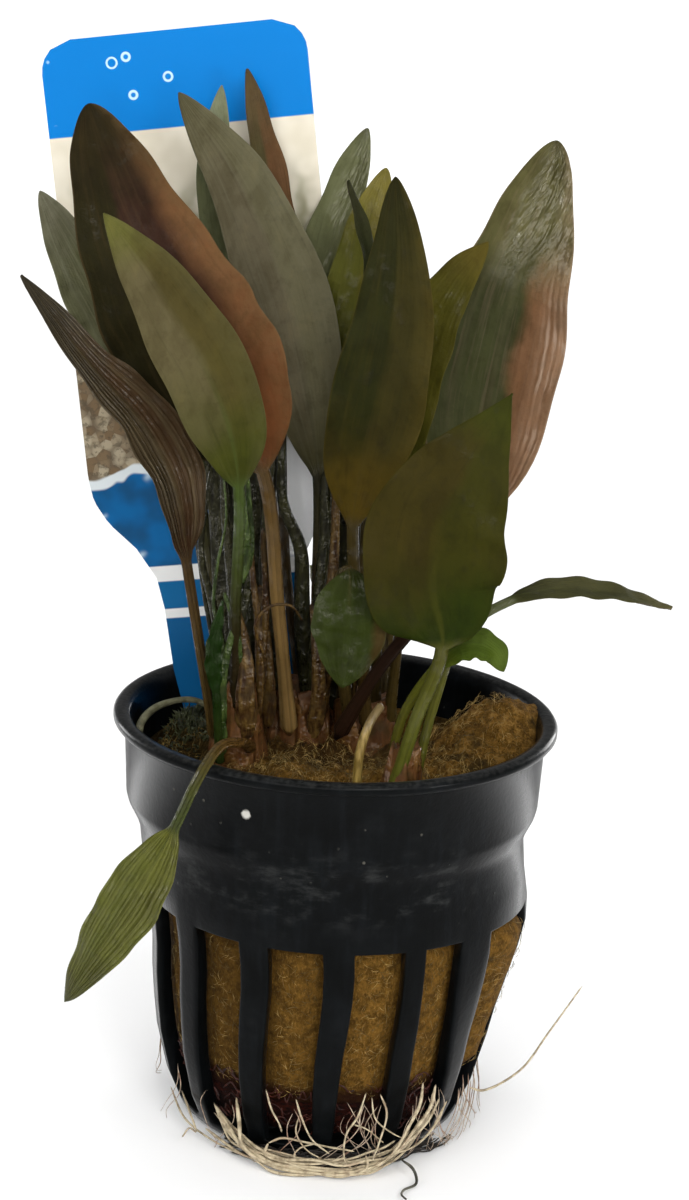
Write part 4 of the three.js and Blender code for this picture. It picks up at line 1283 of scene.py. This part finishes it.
def all_roots():
    pale = root_skin("pale_root", "#7a6c54", "#b0a286", "#8a765e")
    pink = root_skin("pink_root", "#74604f", "#ac9a86", "#7c5644")
    dark = root_skin("dark_root", "#100503", "#3a1308", "#5a2413")
    # near-black roots, partly painted shade along the front of the foot
    foot = root_skin("shade_root_at_foot", "#0c0a07", "#1c150e", "#2a2016")
    wire = root_skin("wiry_root", "#24221c", "#4c4a40", "#605c4c")
    arched = root_skin("arched_root", "#4a4834", "#6a6850", "#545238")
    object_of(bundle_roots(), "root_bundle_strands", pale, "root_bundle")
    tangle()
    bm = bmesh.new()
    mat_roots(bm)
    object_of(bm, "mat_roots", dark)
    bm = bmesh.new()
    shade_roots_at_foot(bm)
    object_of(bm, "shade_roots_at_foot", foot)
    bm = bmesh.new()
    for number in range(-3, 5):
        turn = FRONT_RIB + PITCH * (number - 0.5)
        slot_roots(bm, turn, 12 if number in (1, 2, 3) else 2)
    object_of(bm, "slot_roots", pink)
    single = [
        ("root_long_thread", "root_long", pale, 0.19,
         [(19, -7.8, 5.6), (21, -6.6, 4.7), (25.4, -6, 7.4), (28.8, -6, 13), (32.5, -6, 19.4)]),
        ("root_wiry", "root_loose", wire, 0.22,
         [(10.4, -20.8, 2), (12, -22.2, 1.4), (12.4, -24, 0.5), (10.9, -25.8, 0.5), (10.6, -27, 0.5),
          (11.2, -28.2, 0.5)]),
        ("root_over_wool", "root_arch", arched, 0.6,
         [(-24, -5.4, 46.6), (-24, -1.6, 49.6), (-21.6, 3.6, 50.6), (-17.4, 6, 50.4),
          (-13.6, 5.6, 47.4)]),
    ]
    for name, node, finish, radius, line in single:
        bm = bmesh.new()
        strand(bm, [Vector(point) for point in line], radius, sides=8, rings=40, taper=0.5)
        object_of(bm, name, finish, node)


all_roots()


# The plant tag: a thin, glossy plastic card, printed in blue and cream, with a wide head and a
# narrow stake that is pushed into the wool behind the leaves. Its print here is a plain design.
TAG_LENGTH = 108
TAG_WIDTH = 33.2
TAG_EDGE = [  # half the width, and the height above the stake's tip
    (1.5, 0), (6, 12), (8.3, 28), (8.6, 36), (9.2, 40), (11.4, 44), (14.6, 47.5), (16.2, 50.5),
    (16.6, 53.5), (16.6, 104),
]
TAG_CORNER = 4
TAG_THICK = 0.6
TAG_TIP = (-8.9, 10.1, 25.9)
TAG_TURNS = ((-6, "Z"), (-4, "X"), (-8.6, "Y"))  # degrees
TAG_STRIPES = ((41.5, "#dcdcda"), (39.5, "#0b5a8c"), (35.9, "#dcdcda"), (34.7, "#0a5080"))  # tops
TAG_HEADER = 96.1  # the heights on the card where its printed bands start
SOIL_TOP = 72.4
SAND_TOP = 70.6
PEBBLE_TOP = 68.4
FOAM_TOP = 54.2
WATER_TOP = 53
PEBBLE_SCALE = 0.75


def tag_half(height):
    """Half the card's width at a height above the stake's tip."""
    if height > TAG_LENGTH - TAG_CORNER:
        down = height - (TAG_LENGTH - TAG_CORNER)
        return TAG_WIDTH / 2 - TAG_CORNER + math.sqrt(max(0, TAG_CORNER ** 2 - down ** 2))
    return reach_at(TAG_EDGE, height)


def tag_print():
    finish = Finish("printed_tag", {"Specular IOR Level": 0.1})
    spot = finish.node("TexCoord", output="UV")
    x = (finish.part(spot, "X") - 0.5) * TAG_WIDTH
    z = finish.part(spot, "Y") * TAG_LENGTH
    flat = finish.node("CombineXYZ", {}, {0: x, 1: z})
    fine = finish.grain(flat, 1.1, 4, 0.65)
    broad = finish.grain(flat, 0.18, 2)
    waves = (x * 0.45 + broad * 5).math("SINE")
    pebbles = finish.cells(flat, PEBBLE_SCALE)
    tone = finish.mix(broad.step(0.3, 0.7), paint("#c8c0ad"), paint("#d6cfbe"))
    blades = (x * 0.9 + broad * 6 + z * 0.05).wave("SINE") ** 5
    tone = finish.mix(blades * z.step(93, 84) * 0.8, tone, paint("#6c6a46"))
    tone = finish.mix((z + waves * 0.4).step(SOIL_TOP, SOIL_TOP - 0.4) * 0.8, tone, paint("#4c4a40"))
    tone = finish.mix((z + waves * 0.4).step(SAND_TOP, SAND_TOP - 0.4), tone, paint("#d2ccbf"))
    lot = finish.part(finish.cells(flat, PEBBLE_SCALE, output="Color"), "X")
    gravel = finish.mix(lot.step(0.1, 0.9), paint("#6e5b43"), paint("#a2967e"))
    gravel = finish.mix(pebbles.step(0.4, 0.85) * 0.7, gravel, paint("#5c5040"))
    gravel = finish.mix(fine.step(0.5, 0.62) * 0.6, gravel, paint("#4c4436"))
    tone = finish.mix((z + waves * 0.5).step(PEBBLE_TOP, PEBBLE_TOP - 0.6), tone, gravel)
    water = finish.mix(broad.step(0.35, 0.65), paint("#0f4670"), paint("#075a92"))
    foam = (x * 1.1 - z * 1.5 + broad * 5).wave("SINE") ** 9
    foam = foam * broad.step(0.42, 0.52) * (x * 0.35 + z * 0.3).math("SINE").step(-0.2, 0.3)
    water = finish.mix(foam * 0.8, water, paint("#b4c8d4"))
    shore = z + waves * 0.9
    tone = finish.mix(shore.step(FOAM_TOP, FOAM_TOP - 0.4), tone, paint("#cfd6d8"))
    tone = finish.mix(shore.step(WATER_TOP, WATER_TOP - 0.4), tone, water)
    # a white patch, whiter than the cream print: partly the card's own white, partly painted light
    # that keeps it bright in the stalks' shade
    white_patch_and_painted_light = z.step(41, 42) * x.step(5, 7) * x.step(13.6, 13)
    tone = finish.mix(white_patch_and_painted_light * z.step(57, 56), tone, paint("#f8f8f8"))
    for top, code in TAG_STRIPES:
        tone = finish.mix(z.step(top + 0.1, top - 0.1), tone, paint(code))
    tone = finish.mix(z.step(TAG_HEADER, TAG_HEADER + 0.2), tone, paint("#026eb8"))
    rings = finish.cells(flat, 0.3, 0.85)
    bubbles = rings.step(0.14, 0.17) * rings.step(0.24, 0.21) * z.step(97.6, 98.2)
    tone = finish.mix(bubbles * x.step(4, 0) * 0.85, tone, paint("#bcdcee"))
    finish.feed({
        "Base Color": tone,
        "Roughness": 0.3 + fine * 0.08,
        "Normal": finish.bump(broad, 0.0002, 0.3),
    })
    return finish


def tag_back():
    finish = Finish("tag_back", {"Specular IOR Level": 0.25})
    spot = finish.node("TexCoord", output="UV")
    z = finish.part(spot, "Y") * TAG_LENGTH
    grain = finish.grain(spot, 9, 3)
    tone = finish.mix(grain.step(0.3, 0.7), paint("#cfcec8"), paint("#d8d7d2"))
    tone = finish.mix(z.step(TAG_HEADER, TAG_HEADER + 0.2), tone, paint("#037cc7"))
    tone = finish.mix(z.step(40, 39.6), tone, paint("#0a5080"))
    finish.feed({"Base Color": tone, "Roughness": 0.3 + grain * 0.1})
    return finish


def plant_tag():
    bm = bmesh.new()
    uv = bm.loops.layers.uv.new("card")
    bmesh.ops.create_grid(bm, x_segments=14, y_segments=TAG_LENGTH, size=1)
    place = Matrix.Translation(TAG_TIP)
    for degrees, axis in TAG_TURNS:
        place = place @ Matrix.Rotation(math.radians(degrees), 4, axis)
    for vertex in bm.verts:
        height = TAG_LENGTH * (vertex.co.y + 1) / 2
        vertex.co = Vector((vertex.co.x * tag_half(height), 0, height))
    for face in bm.faces:
        for loop in face.loops:
            loop[uv].uv = (loop.vert.co.x / TAG_WIDTH + 0.5, loop.vert.co.z / TAG_LENGTH)
    bmesh.ops.transform(bm, matrix=place, verts=bm.verts)
    bmesh.ops.recalc_face_normals(bm, faces=bm.faces)
    if sum(face.normal.y for face in bm.faces) > 0:  # it faces the back
        bmesh.ops.reverse_faces(bm, faces=bm.faces)
    tag = object_of(bm, "tag_card", tag_print(), "plant_tag", smooth=False)
    tag.data.materials.append(tag_back().material)
    wall = tag.modifiers.new("thickness", "SOLIDIFY")
    wall.thickness = TAG_THICK * MM
    wall.offset = 0
    wall.material_offset = 1
    wall.material_offset_rim = 1


plant_tag()


# The studio: a pale floor under plain soft light, and the camera where the photographer stood. The
# lights' places, like the camera's, are in metres.
CAMERA_PLACE = (0, -0.31452, 0.15513)
LINE_OF_SIGHT = (0.0013, 0.9623, -0.2719)
CAMERA_TILT = 0.04795  # radians about the line of sight
LENS = 80.06
FLOOR_SIZE = 6000
WORLD_LIGHT = 0.15


def floor():
    bm = bmesh.new()
    bmesh.ops.create_grid(bm, x_segments=2, y_segments=2, size=FLOOR_SIZE)
    finish = Finish("pale_floor", {"Roughness": 0.7})
    speckle = finish.grain(finish.place((0.01, 0.01, 0.01)), 2, 2)
    finish.feed({"Base Color": finish.mix(speckle, paint("#f2f2f2"), paint("#f6f6f6"))})
    ground = made_of(bm, "floor", finish, smooth=False)


def soft_light(name, place, aim, size, power, spread=180):
    data = bpy.data.lights.new(name, "AREA")
    data.shape = "SQUARE"
    data.size = size
    data.energy = power
    data.spread = math.radians(spread)
    light = bpy.data.objects.new(name, data)
    light.location = place
    light.rotation_euler = (Vector(aim) - Vector(place)).to_track_quat("-Z", "Y").to_euler()
    bpy.context.scene.collection.objects.link(light)


def studio():
    world = bpy.data.worlds.new("studio")
    world.use_nodes = True
    world.node_tree.nodes["Background"].inputs["Color"].default_value = (1, 1, 1, 1)
    world.node_tree.nodes["Background"].inputs["Strength"].default_value = WORLD_LIGHT
    bpy.context.scene.world = world
    bpy.context.scene.view_settings.view_transform = "Standard"
    floor()
    middle = (0, 0, 0.07)
    soft_light("key", (0.4, -0.88, 0.62), middle, size=0.45, power=0.54, spread=50)
    soft_light("front", (-0.35, -0.9, 0.5), middle, size=0.45, power=0.28, spread=50)
    soft_light("beside_the_camera", (0.05, -0.6, 0.27), middle, size=0.2, power=0.1, spread=60)
    soft_light("right", (0.62, -0.46, 0.14), middle, size=0.16, power=0.24, spread=60)
    soft_light("left", (-0.55, -0.5, 0.44), middle, size=0.32, power=0.23, spread=60)
    soft_light("back_left", (-0.62, 0.5, 0.2), middle, size=0.3, power=0.3, spread=60)
    soft_light("back_right", (0.5, 0.6, 0.2), middle, size=0.3, power=0.25, spread=60)
    soft_light("overhead", (0, 0.3, 1.3), (0, 0.3, 0), size=1.2, power=8)
    soft_light("behind", (0, 1.1, 0.9), (0, 1.1, 0), size=0.8, power=2.2, spread=100)
    for x, y in ((0, 2.9), (0, -2.9), (2.9, 0), (-2.9, 0)):
        soft_light("over_the_floor", (x, y, 1.7), (x, y, 0), size=3.4, power=40, spread=110)


def photographer():
    """Places the camera and tilts it about its own line of sight."""
    data = bpy.data.cameras.new("camera")
    data.lens = LENS
    data.sensor_width = 36
    data.clip_start = 0.01
    data.clip_end = 30
    camera = bpy.data.objects.new("camera", data)
    camera.rotation_mode = "QUATERNION"
    camera.location = CAMERA_PLACE
    aim = Vector(LINE_OF_SIGHT).to_track_quat("-Z", "Y").to_matrix()
    tilt = Matrix.Rotation(CAMERA_TILT, 3, "Z")
    camera.rotation_quaternion = (aim @ tilt).to_quaternion()
    bpy.context.scene.collection.objects.link(camera)
    bpy.context.scene.camera = camera


studio()
photographer()
